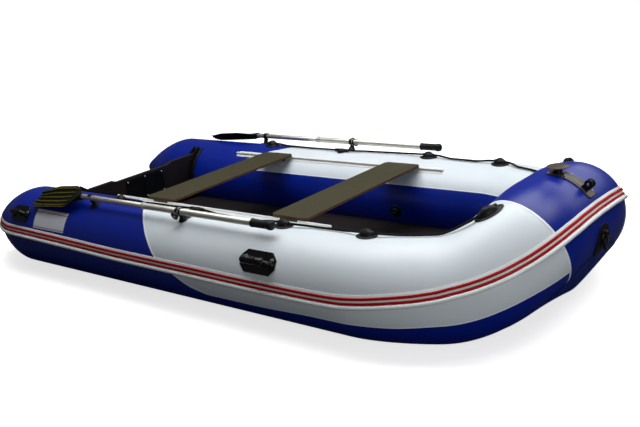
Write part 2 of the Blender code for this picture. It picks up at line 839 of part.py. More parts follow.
def seat_slider(name, side, x_middle):
    """A block under the seat's end, with a keyhole slot for the rail's bead."""
    length = 0.11
    slot = bead_arc(RAIL_BEAD + 0.0006, -155.0, 155.0, 10)
    low = 0.0042
    neck = math.degrees(0.0026 / TUBE_RADIUS)
    top = SEAT_TOP - SEAT_THICK - GAP
    right = [(RAIL_ANGLE - 3.6, low), (RAIL_ANGLE - neck, low)]
    left = [(RAIL_ANGLE + neck, low), (RAIL_ANGLE + 4.4, low)]
    points = [polar(side, a, lift) for a, lift in right + slot + left]
    first = points[0]
    last = points[-1]
    points += [(last[0], top), (first[0], top)]
    return outline(name, points, length, section_matrix(x_middle - length / 2), BLACK_PLASTIC)


for label, side in SIDES.items():
    seat_rail("seat_rail_" + label, side)
for place_name, aft in zip(("aft", "fore"), SEAT_AFT_X):
    middle = aft + SEAT_WIDTH / 2
    outline(
        "seat_" + place_name,
        rounded(SEAT_WIDTH, SEAT_LENGTH, 0.022),
        SEAT_THICK,
        Matrix.Translation((middle - LENGTH_MIDDLE, 0, SEAT_TOP - SEAT_THICK)),
        PLYWOOD,
    )
    for label, side in SIDES.items():
        seat_slider("seat_" + place_name + "_slider_" + label, side, middle)


# Pads that follow the tube, for holders, handles, rowlocks and the tow ring

def on_skin(run, side, angle, along, around, lift):
    """A point near a place on the tube: metres towards the bow, metres up round the tube, and lift."""
    return on_tube(run - along, side, angle + math.degrees(around / TUBE_RADIUS), lift)


def divided(shape, most):
    """The shape with more points on the edges that run far round the tube."""
    points = []
    for a, b in zip(shape, shape[1:] + shape[:1]):
        steps = max(1, math.ceil(abs(b[1] - a[1]) / most))
        points += [(a[0] + (b[0] - a[0]) * k / steps, a[1] + (b[1] - a[1]) * k / steps) for k in range(steps)]
    return points


def pad(name, run, side, angle, shape, profile, mat, collection=None):
    """A pad that fits the tube: rings of the shape, each at a (scale, lift) of the profile."""
    reach = max(abs(v) for u, v in shape)
    shape = divided(shape, 0.028)
    rows = [profile[0]]
    for a, b in zip(profile, profile[1:]):
        steps = max(1, round(abs(b[0] - a[0]) * reach / 0.024))
        for k in range(1, steps + 1):
            t = k / steps
            rows.append((a[0] + (b[0] - a[0]) * t, a[1] + (b[1] - a[1]) * t))
    rings = []
    for scale, lift in rows:
        rings.append([on_skin(run, side, angle, u * scale, v * scale, lift) for u, v in shape])
    return loft(name, rings, mat, collection)


def flat_profile(thickness, edge=0.96):
    low = GAP + 0.0004
    return [(0.3, low), (1.0, low), (edge, thickness), (0.3, thickness)]


def ellipse(width, depth, count=20):
    return [
        (width / 2 * math.cos(2 * math.pi * k / count), depth / 2 * math.sin(2 * math.pi * k / count))
        for k in range(count)
    ]


def skin_matrix(run, side, angle, lift=0.0):
    """Local X towards the bow and local Z out of the tube, at a point of its surface."""
    _, _, _, forward = station(run, side)
    return frame_matrix(on_tube(run, side, angle, lift), forward, outward(run, side, angle))


# Lifelines and their holders

HOLDER_LIFT = 0.0155
SADDLE_LIFT = 0.0105
ROPE_LIFT = 0.0088
HOLDER_STATIONS = [
    (run_at_x(1.30), 88.0),
    (run_at_x(2.49), 88.0),
    (run_at_x(2.95), 93.0),
    (0.315, 93.0),
]
ROWLOCK_RUN = run_at_x(ROWLOCK_X)
SADDLE_ANGLE = 93.0


def rope_holder(name, run, side, angle):
    """A moulded hood with a tunnel for the rope."""
    low = GAP + 0.0004
    profile = [(0.45, low), (1.0, low), (0.97, 0.0040), (0.66, 0.0090), (0.52, 0.0240), (0.26, 0.0320)]
    hood = pad(name, run, side, angle, ellipse(0.106, 0.074, 12), profile, BLACK_RUBBER)
    smooth(hood.data, 50.0)
    cut(hood, ROPE_TUNNELS[side])
    return hood


def rope_route(side):
    """The rope's run, angle and lift from its first holder to its last."""
    knots = [
        (HOLDER_STATIONS[0][0] + 0.012, 88.0, HOLDER_LIFT),
        (HOLDER_STATIONS[0][0] - 0.045, 88.0, HOLDER_LIFT),
        (run_at_x(1.46), 90.0, ROPE_LIFT),
        (run_at_x(1.66), 92.0, ROPE_LIFT),
        (ROWLOCK_RUN + 0.035, SADDLE_ANGLE, SADDLE_LIFT),
        (ROWLOCK_RUN - 0.035, SADDLE_ANGLE, SADDLE_LIFT),
        (run_at_x(2.08), 87.5, ROPE_LIFT),
        (run_at_x(2.28), 83.5, ROPE_LIFT),
        (HOLDER_STATIONS[1][0] + 0.050, 88.0, HOLDER_LIFT),
        (HOLDER_STATIONS[1][0] - 0.050, 88.0, HOLDER_LIFT),
        (run_at_x(2.66), 93.0, ROPE_LIFT),
        (run_at_x(2.80), 94.5, ROPE_LIFT),
        (HOLDER_STATIONS[2][0] + 0.050, 93.0, HOLDER_LIFT),
        (HOLDER_STATIONS[2][0] - 0.050, 93.0, HOLDER_LIFT),
        (0.80, 97.5, ROPE_LIFT),
        (0.56, 98.0, ROPE_LIFT),
        (HOLDER_STATIONS[3][0] + 0.055, 93.0, HOLDER_LIFT),
        (HOLDER_STATIONS[3][0] + 0.005, 93.0, HOLDER_LIFT),
    ]
    points = []
    for k in range(len(knots) - 1):
        a, b = knots[k], knots[k + 1]
        steps = 1 if abs(a[0] - b[0]) < 0.08 else 3
        for j in range(steps):
            t = j / steps
            e = ease(t)
            run = a[0] + (b[0] - a[0]) * t
            angle = a[1] + (b[1] - a[1]) * e
            lift = a[2] + (b[2] - a[2]) * e
            points.append(on_tube(run, side, angle, lift))
    last = knots[-1]
    points.append(on_tube(last[0], side, last[1], last[2]))
    return points


def rope_tunnel(name, side):
    """A cutter along the whole rope, a little wider and longer than it."""
    points = rope_route(side)
    points[0] += (points[0] - points[1]).normalized() * 0.001
    points[-1] += (points[-1] - points[-2]).normalized() * 0.001
    return as_mesh(wire(name, points, ROPE_RADIUS + 0.0010, BLACK_RUBBER, CUTTERS, resolution=2), CUTTERS)


ROPE_TUNNELS = {side: rope_tunnel("rope_tunnel_" + label, side) for label, side in SIDES.items()}

for label, side in SIDES.items():
    for k, (run, angle) in enumerate(HOLDER_STATIONS):
        rope_holder("rope_holder_" + label + "_" + str(k + 1), run, side, angle)
    wire("lifeline_" + label, rope_route(side), ROPE_RADIUS, BLACK_RUBBER, resolution=2)


# Rowlocks: a base on the tube's shoulder and a swivel with a ring round the shaft

SHAFT_OFFSET = Vector((OAR_Y - TUBE_HALF_SPACING, OAR_Z - GROUND))
ROWLOCK_ANGLE = math.degrees(math.atan2(SHAFT_OFFSET.y, SHAFT_OFFSET.x))
SHAFT_LIFT = SHAFT_OFFSET.length - TUBE_RADIUS
BASE_TOP = 0.019
PIN_RADIUS = 0.0065


def rowlock_base(name, side):
    low = GAP + 0.0004
    middle = (ROWLOCK_ANGLE + SADDLE_ANGLE) / 2 - 1.0
    profile = [(0.25, low), (1.0, low), (0.98, 0.0042), (0.25, 0.0046)]
    base = pad(name, ROWLOCK_RUN, side, middle, ellipse(0.100, 0.182, 12), profile, BLACK_RUBBER)
    matrix = skin_matrix(ROWLOCK_RUN, side, ROWLOCK_ANGLE)
    boss = turned(
        name + "_boss",
        [
            (0.0, BASE_TOP), (0.0155, BASE_TOP), (0.0170, BASE_TOP - 0.002), (0.0180, 0.009),
            (0.0310, 0.0052), (0.0330, 0.002), (0.0, 0.002),
        ],
        matrix,
        BLACK_RUBBER,
        CUTTERS,
        steps=14,
    )
    saddle_profile = [(0.4, 0.002), (1.0, 0.002), (1.0, 0.0080), (0.78, 0.0165), (0.35, 0.0202)]
    shape = ellipse(0.070, 0.036, 8)
    saddle = pad(
        name + "_saddle", ROWLOCK_RUN, side, SADDLE_ANGLE, shape, saddle_profile, BLACK_RUBBER, CUTTERS
    )
    join(base, [boss, saddle])
    cut(base, ROPE_TUNNELS[side])
    bottom = matrix @ Matrix.Translation((0, 0, 0.0055))
    socket = cylinder(name + "_socket", PIN_RADIUS + 0.0004, 0.02, bottom, BLACK_RUBBER, CUTTERS, sides=12)
    cut(base, socket)
    return base


def rowlock_swivel(name, side):
    """A pin in the base, a collar and a closed ring round the shaft, with a knob outboard."""
    matrix = skin_matrix(ROWLOCK_RUN, side, ROWLOCK_ANGLE)
    low = BASE_TOP + GAP
    body = turned(
        name,
        [
            (0.0, low + 0.010), (0.0100, low + 0.010), (0.0130, low + 0.008), (0.0140, low),
            (PIN_RADIUS, low), (PIN_RADIUS, 0.007), (0.0, 0.007),
        ],
        matrix,
        STEEL,
        steps=12,
    )
    ring_radius = SHAFT_RADIUS_UPPER + 0.0052
    bm = bmesh.new()
    for k in range(16):
        a = 2 * math.pi * k / 16
        bm.verts.new((0.0, ring_radius * math.sin(a), SHAFT_LIFT + ring_radius * math.cos(a)))
    points = [matrix @ v.co for v in bm.verts]
    bm.free()
    ring = as_mesh(wire(name + "_ring", points, 0.0044, STEEL, CUTTERS, resolution=1, cyclic=True), CUTTERS)
    stem_frame = matrix @ Matrix.Translation((0, 0, SHAFT_LIFT))
    toward = (stem_frame.to_3x3() @ Vector((0, 1, 0))).normalized()
    if toward.y * side < 0:
        toward = -toward
    knob_matrix = frame_matrix(stem_frame.translation + toward * ring_radius, Vector((1, 0, 0)), toward)
    knob = turned(
        name + "_knob",
        [
            (0.0, 0.021), (0.0175, 0.021), (0.0222, 0.017), (0.0215, 0.0095),
            (0.0060, 0.008), (0.0060, 0.0), (0.0, 0.0),
        ],
        knob_matrix,
        STEEL,
        CUTTERS,
        steps=14,
    )
    return join(body, [ring, knob])


# Oars

def oar_frame(x, side, aft=False):
    """Local Z along the shaft, at this distance from the stern tip."""
    place_on_oar = Vector((x - LENGTH_MIDDLE, side * OAR_Y, OAR_Z))
    return frame_matrix(place_on_oar, Vector((0, 0, 1)), Vector((-1 if aft else 1, 0, 0)))


def blade_edges(s):
    """Upper and lower half widths of the blade, from the neck at 0 to the tip at 1."""
    half = BLADE_WIDTH / 2
    swell = half - SOCKET_RADIUS
    upper = SOCKET_RADIUS + swell * ease(s / 0.46) - 0.45 * half * ease((s - 0.62) / 0.38)
    lower = SOCKET_RADIUS + swell * ease(s / 0.34) - 0.12 * half * ease((s - 0.80) / 0.20)
    return upper, lower


def oar_blade(name, side):
    """A ribbed blade that grows out of a round socket."""
    neck = Vector((NECK_X - LENGTH_MIDDLE, OAR_Y, OAR_Z))
    tip = neck + Vector((-BLADE_LENGTH, BLADE_TIP_OUT, -BLADE_TIP_DROP))
    axis = (tip - neck).normalized()
    a = math.radians(BLADE_FACE_ANGLE)
    face = Vector((0, math.cos(a), math.sin(a)))
    across = axis.cross(face).normalized()
    if across.z < 0:
        across = -across
    normal = across.cross(axis)
    if normal.z < 0:
        normal = -normal
    columns = 12
    stations = [0.0, 0.06, 0.13, 0.22, 0.34, 0.52, 0.72, 0.88, 1.0]
    rings = []
    sleeve = 0.045
    for back in (sleeve, 0.004):
        ring = []
        for k in range(columns * 2):
            t = 2 * math.pi * (k + 0.5) / (columns * 2)
            offset = (across * math.cos(t) + normal * math.sin(t)) * SOCKET_RADIUS
            ring.append(neck + Vector((back, 0, 0)) + offset)
        rings.append(ring)
    for s in stations:
        upper, lower = blade_edges(s)
        flat = ease(s / 0.20)
        thin = 0.0026 * (1.0 - 0.45 * s)
        ring = []
        for k in range(columns * 2):
            t = 2 * math.pi * (k + 0.5) / (columns * 2)
            w = math.cos(t)
            width = upper if w > 0 else lower
            rib = math.cos(BLADE_RIBS * math.pi * w) * (1 - ease((abs(w) - 0.80) / 0.2))
            wave = 0.0034 * rib * ease((s - 0.08) / 0.2)
            dish = -0.010 * (1 - w * w) * ease((s - 0.1) / 0.4)
            squared = abs(math.sin(t)) ** (1.0 - 0.72 * flat)
            thick = math.copysign(squared, math.sin(t)) * (SOCKET_RADIUS * (1 - flat) + thin * flat)
            point = neck + axis * BLADE_LENGTH * s + across * width * w + normal * (thick + wave + dish)
            ring.append(point)
        rings.append(ring)
    rings = [[Vector((p.x, p.y * side, p.z)) for p in ring] for ring in rings]
    blade = loft(name, rings, BLADE_PLASTIC)
    smooth(blade.data, 60.0)
    mouth = oar_frame(NECK_X + 0.085, side, aft=True)
    bore = SHAFT_RADIUS_LOWER + GAP
    cut(blade, cylinder(name + "_socket", bore, 0.09, mouth, BLADE_PLASTIC, CUTTERS, sides=16))
    return blade


def shaft(name, start, end, radius, side, collars=()):
    """A drawn tube, open at both ends. Local Z runs aft from its fore end."""
    length = end - start
    outer = [(radius, 0.0)]
    for at, height, width in sorted(collars, key=lambda c: end - c[0]):
        z = -(end - at)
        fore = z + width / 2
        back = z - width / 2
        outer += [(radius, fore), (height, fore), (height, back), (radius, back)]
    outer.append((radius, -length))
    inner = [(radius - SHAFT_WALL, -length), (radius - SHAFT_WALL, 0.0)]
    return turned(name, outer + inner, oar_frame(end, side), ALUMINIUM, steps=14, closed=True)


def oar_grip(name, side):
    """A moulded grip with finger rings and a domed end."""
    length = GRIP_X[1] - GRIP_X[0]
    bore = SHAFT_RADIUS_UPPER + GAP
    cap = GRIP_RADIUS + 0.002
    profile = [(0.0, length), (0.0125, length - 0.002), (cap, length - 0.010), (cap, length - 0.020)]
    profile.append((GRIP_RADIUS, length - 0.024))
    for k in range(2):
        z = length - 0.048 - 0.034 * k
        profile += [(GRIP_RADIUS, z + 0.006), (GRIP_RADIUS + 0.0012, z), (GRIP_RADIUS, z - 0.006)]
    profile += [(GRIP_RADIUS, 0.0), (bore, 0.0), (bore, length - 0.030), (0.0, length - 0.030)]
    return turned(name, profile, oar_frame(GRIP_X[0], side), BLACK_RUBBER, steps=14)


COLLAR_HALF = 0.0044 + 0.0006 + 0.004

for label, side in SIDES.items():
    rowlock_base("rowlock_base_" + label, side)
    rowlock_swivel("rowlock_swivel_" + label, side)
    oar_blade("oar_blade_" + label, side)
    shaft("oar_shaft_lower_" + label, NECK_X, SHAFT_JOINT_X + 0.06, SHAFT_RADIUS_LOWER, side)
    shaft(
        "oar_shaft_upper_" + label,
        SHAFT_JOINT_X,
        GRIP_X[1] - 0.032,
        SHAFT_RADIUS_UPPER,
        side,
        collars=(
            (SHAFT_JOINT_X + 0.012, SHAFT_RADIUS_UPPER + 0.0022, 0.018),
            (ROWLOCK_X - COLLAR_HALF, SHAFT_RADIUS_UPPER + 0.0040, 0.008),
            (ROWLOCK_X + COLLAR_HALF, SHAFT_RADIUS_UPPER + 0.0040, 0.008),
        ),
    )
    oar_grip("oar_grip_" + label, side)


# Clips that hold the oars' shafts, open outboard

CLIP_X = 1.165
CLIP_WIDTH = 0.024


def oar_clip(name, side):
    """A pad with a C hook: its jaw faces outboard, so the shaft swings out of it."""
    low = GAP + 0.0004
    profile = [(0.25, low), (1.0, low), (1.0, 0.0026), (0.94, 0.0040), (0.25, 0.0044)]
    shape = ellipse(0.062, 0.062, 14)
    base = pad(name, run_at_x(CLIP_X), side, ROWLOCK_ANGLE, shape, profile, BLACK_RUBBER)
    inner = SHAFT_RADIUS_LOWER + 0.0009
    outer = inner + 0.0042
    lip = 0.010
    hook = [(lip, outer)]
    hook += [(-outer * math.sin(math.pi * k / 7), outer * math.cos(math.pi * k / 7)) for k in range(8)]
    hook += [(lip, -outer), (lip, -inner)]
    hook += [(-inner * math.sin(math.pi * k / 7), -inner * math.cos(math.pi * k / 7)) for k in range(8)]
    hook += [(lip, inner)]
    matrix = skin_matrix(run_at_x(CLIP_X), side, ROWLOCK_ANGLE)
    normal = outward(run_at_x(CLIP_X), side, ROWLOCK_ANGLE)
    toward = Vector((1, 0, 0)).cross(normal)
    if toward.y * side < 0:
        toward = -toward
    origin = matrix.translation + normal * SHAFT_LIFT - Vector((CLIP_WIDTH / 2, 0, 0))
    section = Matrix((toward, normal, Vector((1, 0, 0)))).transposed().to_4x4()
    section.translation = origin
    jaw = outline(name + "_jaw", hook, CLIP_WIDTH, section, BLACK_RUBBER, CUTTERS)
    foot_top = SHAFT_LIFT - outer + 0.0015
    foot = box(
        name + "_foot",
        (CLIP_WIDTH, 0.016, foot_top - 0.003),
        matrix @ Matrix.Translation((0, 0, (foot_top + 0.003) / 2)),
        BLACK_RUBBER,
        CUTTERS,
    )
    return join(base, [foot, jaw])


for label, side in SIDES.items():
    oar_clip("oar_clip_" + label, side)


# Carry handles on the tubes' sides, with barrel grips

HANDLE_PAD = 0.0050
BARREL_END = 0.0105


def chamfered(width, depth, corner):
    """A rectangle with cut corners, about its middle."""
    x = width / 2
    y = depth / 2
    half = [(x, -y + corner), (x, y - corner), (x - corner, y), (-x + corner, y)]
    return half + [(-u, -v) for u, v in half]


def carry_handle(name, x, side, angle, size, grip_lift, barrel):
    """A moulded pad with a thick barrel grip that stands off it."""
    run = run_at_x(x)
    length, depth = size
    shape = chamfered(length, depth, depth * 0.30)
    base = pad(name, run, side, angle, shape, flat_profile(HANDLE_PAD, 0.94), BLACK_RUBBER)
    smooth(base.data, 40.0)
    half = length / 2 - 0.026
    points = []
    radii = []
    count = 12
    for k in range(count + 1):
        turn = math.pi * k / count
        along = -half * math.copysign(abs(math.cos(turn)) ** 0.45, math.cos(turn))
        lift = 0.0022 + (grip_lift - 0.0022) * math.sin(turn) ** 0.6
        points.append(on_skin(run, side, angle, along, 0.0, lift))
        full = ease((0.80 - abs(along) / half) / 0.14)
        radii.append(1.0 + (barrel / BARREL_END - 1.0) * full)
    bar = wire(name + "_grip", points, BARREL_END, BLACK_RUBBER, CUTTERS, resolution=2, radii=radii)
    return join(base, [as_mesh(bar, CUTTERS)])


for label, side in SIDES.items():
    carry_handle("carry_handle_" + label, 2.482, side, 30.5, (0.216, 0.107), 0.0425, 0.0195)
    carry_handle("stern_handle_" + label, 0.567, side, 35.5, (0.170, 0.098), 0.0370, 0.0160)


# Bow: a strip with the bollard and the fork of the anchor line's roller

BOLLARD_ANGLE = 81.0
ROLLER_ANGLE = 47.5
ROLLER_LIFT = 0.031
ROLLER_RADIUS = 0.020
ROLLER_HALF = 0.015
FORK_THICK = 0.004


def bow_strip(name):
    low = GAP + 0.0007
    middle = (BOLLARD_ANGLE + ROLLER_ANGLE) / 2
    reach = math.radians(BOLLARD_ANGLE - ROLLER_ANGLE) * TUBE_RADIUS + 0.095
    base = pad(
        name,
        0.0,
        1.0,
        middle,
        rounded(0.074, reach, 0.020, 2),
        [(0.2, low), (1.0, low), (0.98, 0.0042), (0.2, 0.0046)],
        BLACK_PLASTIC,
    )
    matrix = skin_matrix(0.0, 1.0, BOLLARD_ANGLE)
    flange = turned(
        name + "_flange",
        [(0.0, 0.0090), (0.0240, 0.0090), (0.0265, 0.0075), (0.0265, 0.0025), (0.0, 0.0025)],
        matrix,
        BLACK_PLASTIC,
        CUTTERS,
        steps=16,
    )
    upright = Matrix.Translation(matrix.translation)
    bollard = turned(
        name + "_bollard",
        [
            (0.0, 0.0372), (0.0300, 0.0366), (0.0465, 0.0345), (0.0495, 0.0322), (0.0480, 0.0302),
            (0.0300, 0.0286), (0.0190, 0.0262), (0.0175, 0.0230), (0.0175, 0.0060), (0.0, 0.0060),
        ],
        upright,
        BLACK_PLASTIC,
        CUTTERS,
        steps=20,
    )
    parts = [flange, bollard]
    outward_dir = outward(0.0, 1.0, ROLLER_ANGLE)
    tangent = Vector((0, 1, 0)).cross(outward_dir)
    for sign in (-1, 1):
        right = [(0.017, 0.002), (0.012, ROLLER_LIFT + 0.006), (0.007, ROLLER_LIFT + 0.0105)]
        cheek = right + [(-u, v) for u, v in reversed(right)]
        section = Matrix((tangent, outward_dir, tangent.cross(outward_dir))).transposed().to_4x4()
        base_point = on_tube(0.0, 1.0, ROLLER_ANGLE)
        shift = ROLLER_HALF + 0.0008 if sign > 0 else -(ROLLER_HALF + 0.0008) - FORK_THICK
        direction = Vector(section.col[2][:3])
        section.translation = base_point + direction * shift
        cheek_name = name + ("_cheek_a" if sign < 0 else "_cheek_b")
        parts.append(outline(cheek_name, cheek, FORK_THICK, section, BLACK_PLASTIC, CUTTERS))
    axle_start = on_tube(0.0, 1.0, ROLLER_ANGLE, ROLLER_LIFT) - Vector((0, ROLLER_HALF + 0.0075, 0))
    along = frame_matrix(axle_start, Vector((1, 0, 0)), Vector((0, 1, 0)))
    parts.append(cylinder(name + "_axle", 0.0040, 2 * ROLLER_HALF + 0.015, along, STEEL, CUTTERS, sides=12))
    return join(base, parts)


bow_strip("bow_fitting")
roller_middle = on_tube(0.0, 1.0, ROLLER_ANGLE, ROLLER_LIFT)
turned(
    "bow_roller",
    [
        (ROLLER_RADIUS - 0.0015, ROLLER_HALF), (ROLLER_RADIUS, ROLLER_HALF - 0.0015), (0.0130, 0.004),
        (0.0125, 0.0), (0.0130, -0.004), (ROLLER_RADIUS, -ROLLER_HALF + 0.0015),
        (ROLLER_RADIUS - 0.0015, -ROLLER_HALF), (0.0044, -ROLLER_HALF), (0.0044, ROLLER_HALF),
    ],
    frame_matrix(roller_middle, Vector((1, 0, 0)), Vector((0, 1, 0))),
    BLACK_RUBBER,
    steps=16,
    closed=True,
)


# Tow patch and its ring

TOW_ANGLE = -15.0
TOW_BAR_ANGLE = -6.0
TOW_BAR_LIFT = 0.0120
TOW_WIRE = 0.0042

low = GAP + 0.0004
tow_patch = pad(
    "tow_patch",
    0.0,
    1.0,
    TOW_ANGLE,
    ellipse(0.132, 0.160, 14),
    [(0.2, low), (1.0, low), (0.98, 0.0036), (0.2, 0.0044)],
    BLACK_RUBBER,
)
bar_matrix = skin_matrix(0.0, 1.0, TOW_BAR_ANGLE)
keeper_matrix = bar_matrix @ Matrix.Translation((0, 0, 0.0115))
keeper = box("tow_patch_keeper", (0.036, 0.026, 0.019), keeper_matrix, BLACK_RUBBER, CUTTERS, bevel=0.004)
join(tow_patch, [keeper])
bar_middle = on_tube(0.0, 1.0, TOW_BAR_ANGLE, TOW_BAR_LIFT)
across_boat = frame_matrix(bar_middle - Vector((0, 0.04, 0)), Vector((1, 0, 0)), Vector((0, 1, 0)))
cut(
    tow_patch,
    cylinder("tow_patch_bore", TOW_WIRE + 0.0007, 0.08, across_boat, BLACK_RUBBER, CUTTERS, sides=16),
)


def tow_ring_points():
    """A triangle with round corners, hanging from its top bar."""
    half = 0.040
    drop = 0.094
    corners = [(-half, 0.0), (half, 0.0), (0.0, -drop)]
    radii = (0.010, 0.010, 0.015)
    points = []
    for k in range(3):
        here = Vector(corners[k])
        before = (Vector(corners[k - 1]) - here).normalized()
        after = (Vector(corners[(k + 1) % 3]) - here).normalized()
        bisector = (before + after).normalized()
        half_angle = before.angle(after) / 2
        middle = here + bisector * (radii[k] / math.sin(half_angle))
        start = here + before * (radii[k] / math.tan(half_angle))
        end = here + after * (radii[k] / math.tan(half_angle))
        a0 = math.atan2(start.y - middle.y, start.x - middle.x)
        a1 = math.atan2(end.y - middle.y, end.x - middle.x)
        turn = (a1 - a0 + math.pi) % (2 * math.pi) - math.pi
        for j in range(5):
            a = a0 + turn * j / 4
            points.append((middle.x + radii[k] * math.cos(a), middle.y + radii[k] * math.sin(a)))
    return [Vector((bar_middle.x, y, bar_middle.z + z)) for y, z in points]


wire("tow_ring", tow_ring_points(), TOW_WIRE, STEEL, resolution=2, cyclic=True)
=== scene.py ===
"""The looks of an inflatable boat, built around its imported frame.

Metres, +Z up, +X to the bow and +Y to port. Runs are measured back along the
tubes from the middle of the bow. Ring angles go round a tube: 0 is outboard,
90 the top and 180 inboard.
"""

import logging
import math
from dataclasses import dataclass
from enum import Enum
from functools import cached_property
from typing import Sequence

import bmesh
import bpy
import numpy as np
from mathutils import Matrix, Vector


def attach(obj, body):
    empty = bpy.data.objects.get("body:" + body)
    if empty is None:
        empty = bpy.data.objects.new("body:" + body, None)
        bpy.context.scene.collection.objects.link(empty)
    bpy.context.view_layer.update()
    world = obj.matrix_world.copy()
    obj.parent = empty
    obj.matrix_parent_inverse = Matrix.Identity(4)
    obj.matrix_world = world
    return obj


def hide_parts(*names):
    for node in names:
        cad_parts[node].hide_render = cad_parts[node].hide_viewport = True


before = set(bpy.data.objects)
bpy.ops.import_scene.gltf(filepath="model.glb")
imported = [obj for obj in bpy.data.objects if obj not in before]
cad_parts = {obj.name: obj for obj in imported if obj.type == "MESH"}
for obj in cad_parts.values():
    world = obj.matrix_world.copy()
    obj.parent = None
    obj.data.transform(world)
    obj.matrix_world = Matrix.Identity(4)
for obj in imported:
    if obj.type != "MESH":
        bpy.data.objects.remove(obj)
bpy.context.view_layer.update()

log = logging.getLogger("boat")

Array = np.ndarray
Shape = bmesh.types.BMesh
Object = bpy.types.Object
Node = bpy.types.Node
Socket = bpy.types.NodeSocket
Tree = bpy.types.NodeTree
Colour = tuple[float, float, float, float]
Profile = Sequence[tuple[float, float]]


# Colours and nodes


def linear(code: str) -> Colour:
    """Turns an sRGB hex code into a linear colour.

    Args:
        code: Six hex digits after a #.

    Returns:
        Red, green, blue and an alpha of 1.
    """
    parts = [int(code[k : k + 2], 16) / 255 for k in (1, 3, 5)]
    red, green, blue = (c / 12.92 if c <= 0.04045 else ((c + 0.055) / 1.055) ** 2.4 for c in parts)
    return (red, green, blue, 1.0)


def feed(tree: Tree, target: Socket, value: object) -> None:
    """Links a socket to an input, or sets the input to a value.

    Args:
        tree: The tree of both.
        target: The input.
        value: A socket or a plain value.
    """
    if isinstance(value, Socket):
        tree.links.new(value, target)
    else:
        target.default_value = value


def add(tree: Tree, kind: str, inputs: dict | None = None, **settings: object) -> Node:
    """Adds a node with its settings, input values and links.

    Args:
        tree: The tree that takes the node.
        kind: Blender's name of the node.
        inputs: Values or output sockets, by the input's name or number.
        settings: Properties of the node.

    Returns:
        The new node.
    """
    made = tree.nodes.new(kind)
    for key, value in settings.items():
        setattr(made, key, value)
    for socket, value in (inputs or {}).items():
        feed(tree, made.inputs[socket], value)
    return made


def calc(tree: Tree, operation: str, *values: Socket | float) -> Socket:
    """Adds a Math node on these values and gives its output."""
    return add(tree, "ShaderNodeMath", dict(enumerate(values)), operation=operation).outputs[0]


def mixed(tree: Tree, share: Socket, low: object, high: object) -> Socket:
    """Mixes two colours, each a value or a socket, by a share from 0 to 1."""
    return add(tree, "ShaderNodeMix", {0: share, 6: low, 7: high}, data_type="RGBA").outputs[2]


def ranged(tree: Tree, value: Socket, start: float, end: float, low: float, high: float) -> Socket:
    """Maps a value from start..end to low..high, held at the limits."""
    inputs = {"Value": value, "From Min": start, "From Max": end, "To Min": low, "To Max": high}
    return add(tree, "ShaderNodeMapRange", inputs).outputs["Result"]


# Finishes


# Nearly all of Blender's noise lies between these
NOISE = (0.3, 0.7)


@dataclass(frozen=True)
class Finish:
    """A surface as it was made: its colour and its gloss.

    Attributes:
        name: The material's common name and how it was worked.
        colour: sRGB hex code.
        roughness: Roughness of the Principled shader.
        metallic: 1 for bare metal.
        ior: Index of refraction of what isn't metal.
    """

    name: str
    colour: str
    roughness: float = 0.5
    metallic: float = 0.0
    ior: float = 1.5

    def material(self) -> bpy.types.Material:
        """Returns the finish's material, made on first use."""
        found = bpy.data.materials.get(self.name)
        if found:
            return found
        made = bpy.data.materials.new(self.name)
        made.use_nodes = True
        tree = made.node_tree
        shader = tree.nodes["Principled BSDF"]
        shader.inputs["Base Color"].default_value = linear(self.colour)
        shader.inputs["Roughness"].default_value = self.roughness
        shader.inputs["Metallic"].default_value = self.metallic
        if not self.metallic:
            shader.inputs["IOR"].default_value = self.ior
        made.diffuse_color = linear(self.colour)
        self.dress(tree, shader)
        return made

    def dress(self, tree: Tree, shader: Node) -> None:
        """Adds the surface's pattern: plain ones only wander a little in colour, gloss and level.

        Args:
            tree: The material's tree.
            shader: Its Principled node.
        """
        self.wander(tree, shader, 60.0, 0.05)
        self.paint(tree, shader, self.tint(tree, self.colour, 45.0, 0.94))
        self.relief(tree, shader, self.noise(tree, 5.0), 0.03)

    def noise(self, tree: Tree, grain_mm: float, detail: float = 2.0, stretch: tuple = (1, 1, 1)) -> Socket:
        """Gives noise in the piece's own coordinates.

        Args:
            tree: The material's tree.
            grain_mm: Width of the lumps.
            detail: Octaves of finer lumps.
            stretch: How many times longer the lumps are along each axis.

        Returns:
            The noise, mostly from 0.3 to 0.7.
        """
        spot = add(tree, "ShaderNodeTexCoord").outputs["Object"]
        scale = tuple(1.0 / s for s in stretch)
        laid = add(tree, "ShaderNodeMapping", {"Vector": spot, "Scale": scale}).outputs[0]
        inputs = {"Vector": laid, "Scale": 1000.0 / grain_mm, "Detail": detail}
        return add(tree, "ShaderNodeTexNoise", inputs).outputs["Fac"]

    def paint(self, tree: Tree, shader: Node, colour: Socket) -> None:
        """Makes a socket the surface's colour."""
        tree.links.new(colour, shader.inputs["Base Color"])

    def wander(self, tree: Tree, shader: Node, grain_mm: float, spread: float) -> None:
        """Lets the roughness wander by this much on each side."""
        limits = self.roughness - spread, self.roughness + spread
        tree.links.new(ranged(tree, self.noise(tree, grain_mm), *NOISE, *limits), shader.inputs["Roughness"])

    def relief(self, tree: Tree, shader: Node, height: Socket, depth_mm: float) -> None:
        """Raises the surface by a height field, one unit of which is this deep."""
        bump = add(tree, "ShaderNodeBump", {"Height": height, "Distance": depth_mm / 1000.0, "Strength": 1.0})
        tree.links.new(bump.outputs["Normal"], shader.inputs["Normal"])

    def tint(self, tree: Tree, code: str, grain_mm: float, dark: float) -> Socket:
        """Gives a colour that wanders down to a share of itself.

        Args:
            tree: The material's tree.
            code: sRGB hex code.
            grain_mm: Width of the patches.
            dark: The lowest share.

        Returns:
            The colour's socket.
        """
        full = linear(code)
        low = (*(part * dark for part in full[:3]), 1.0)
        return mixed(tree, ranged(tree, self.noise(tree, grain_mm), *NOISE, 0.0, 1.0), low, full)


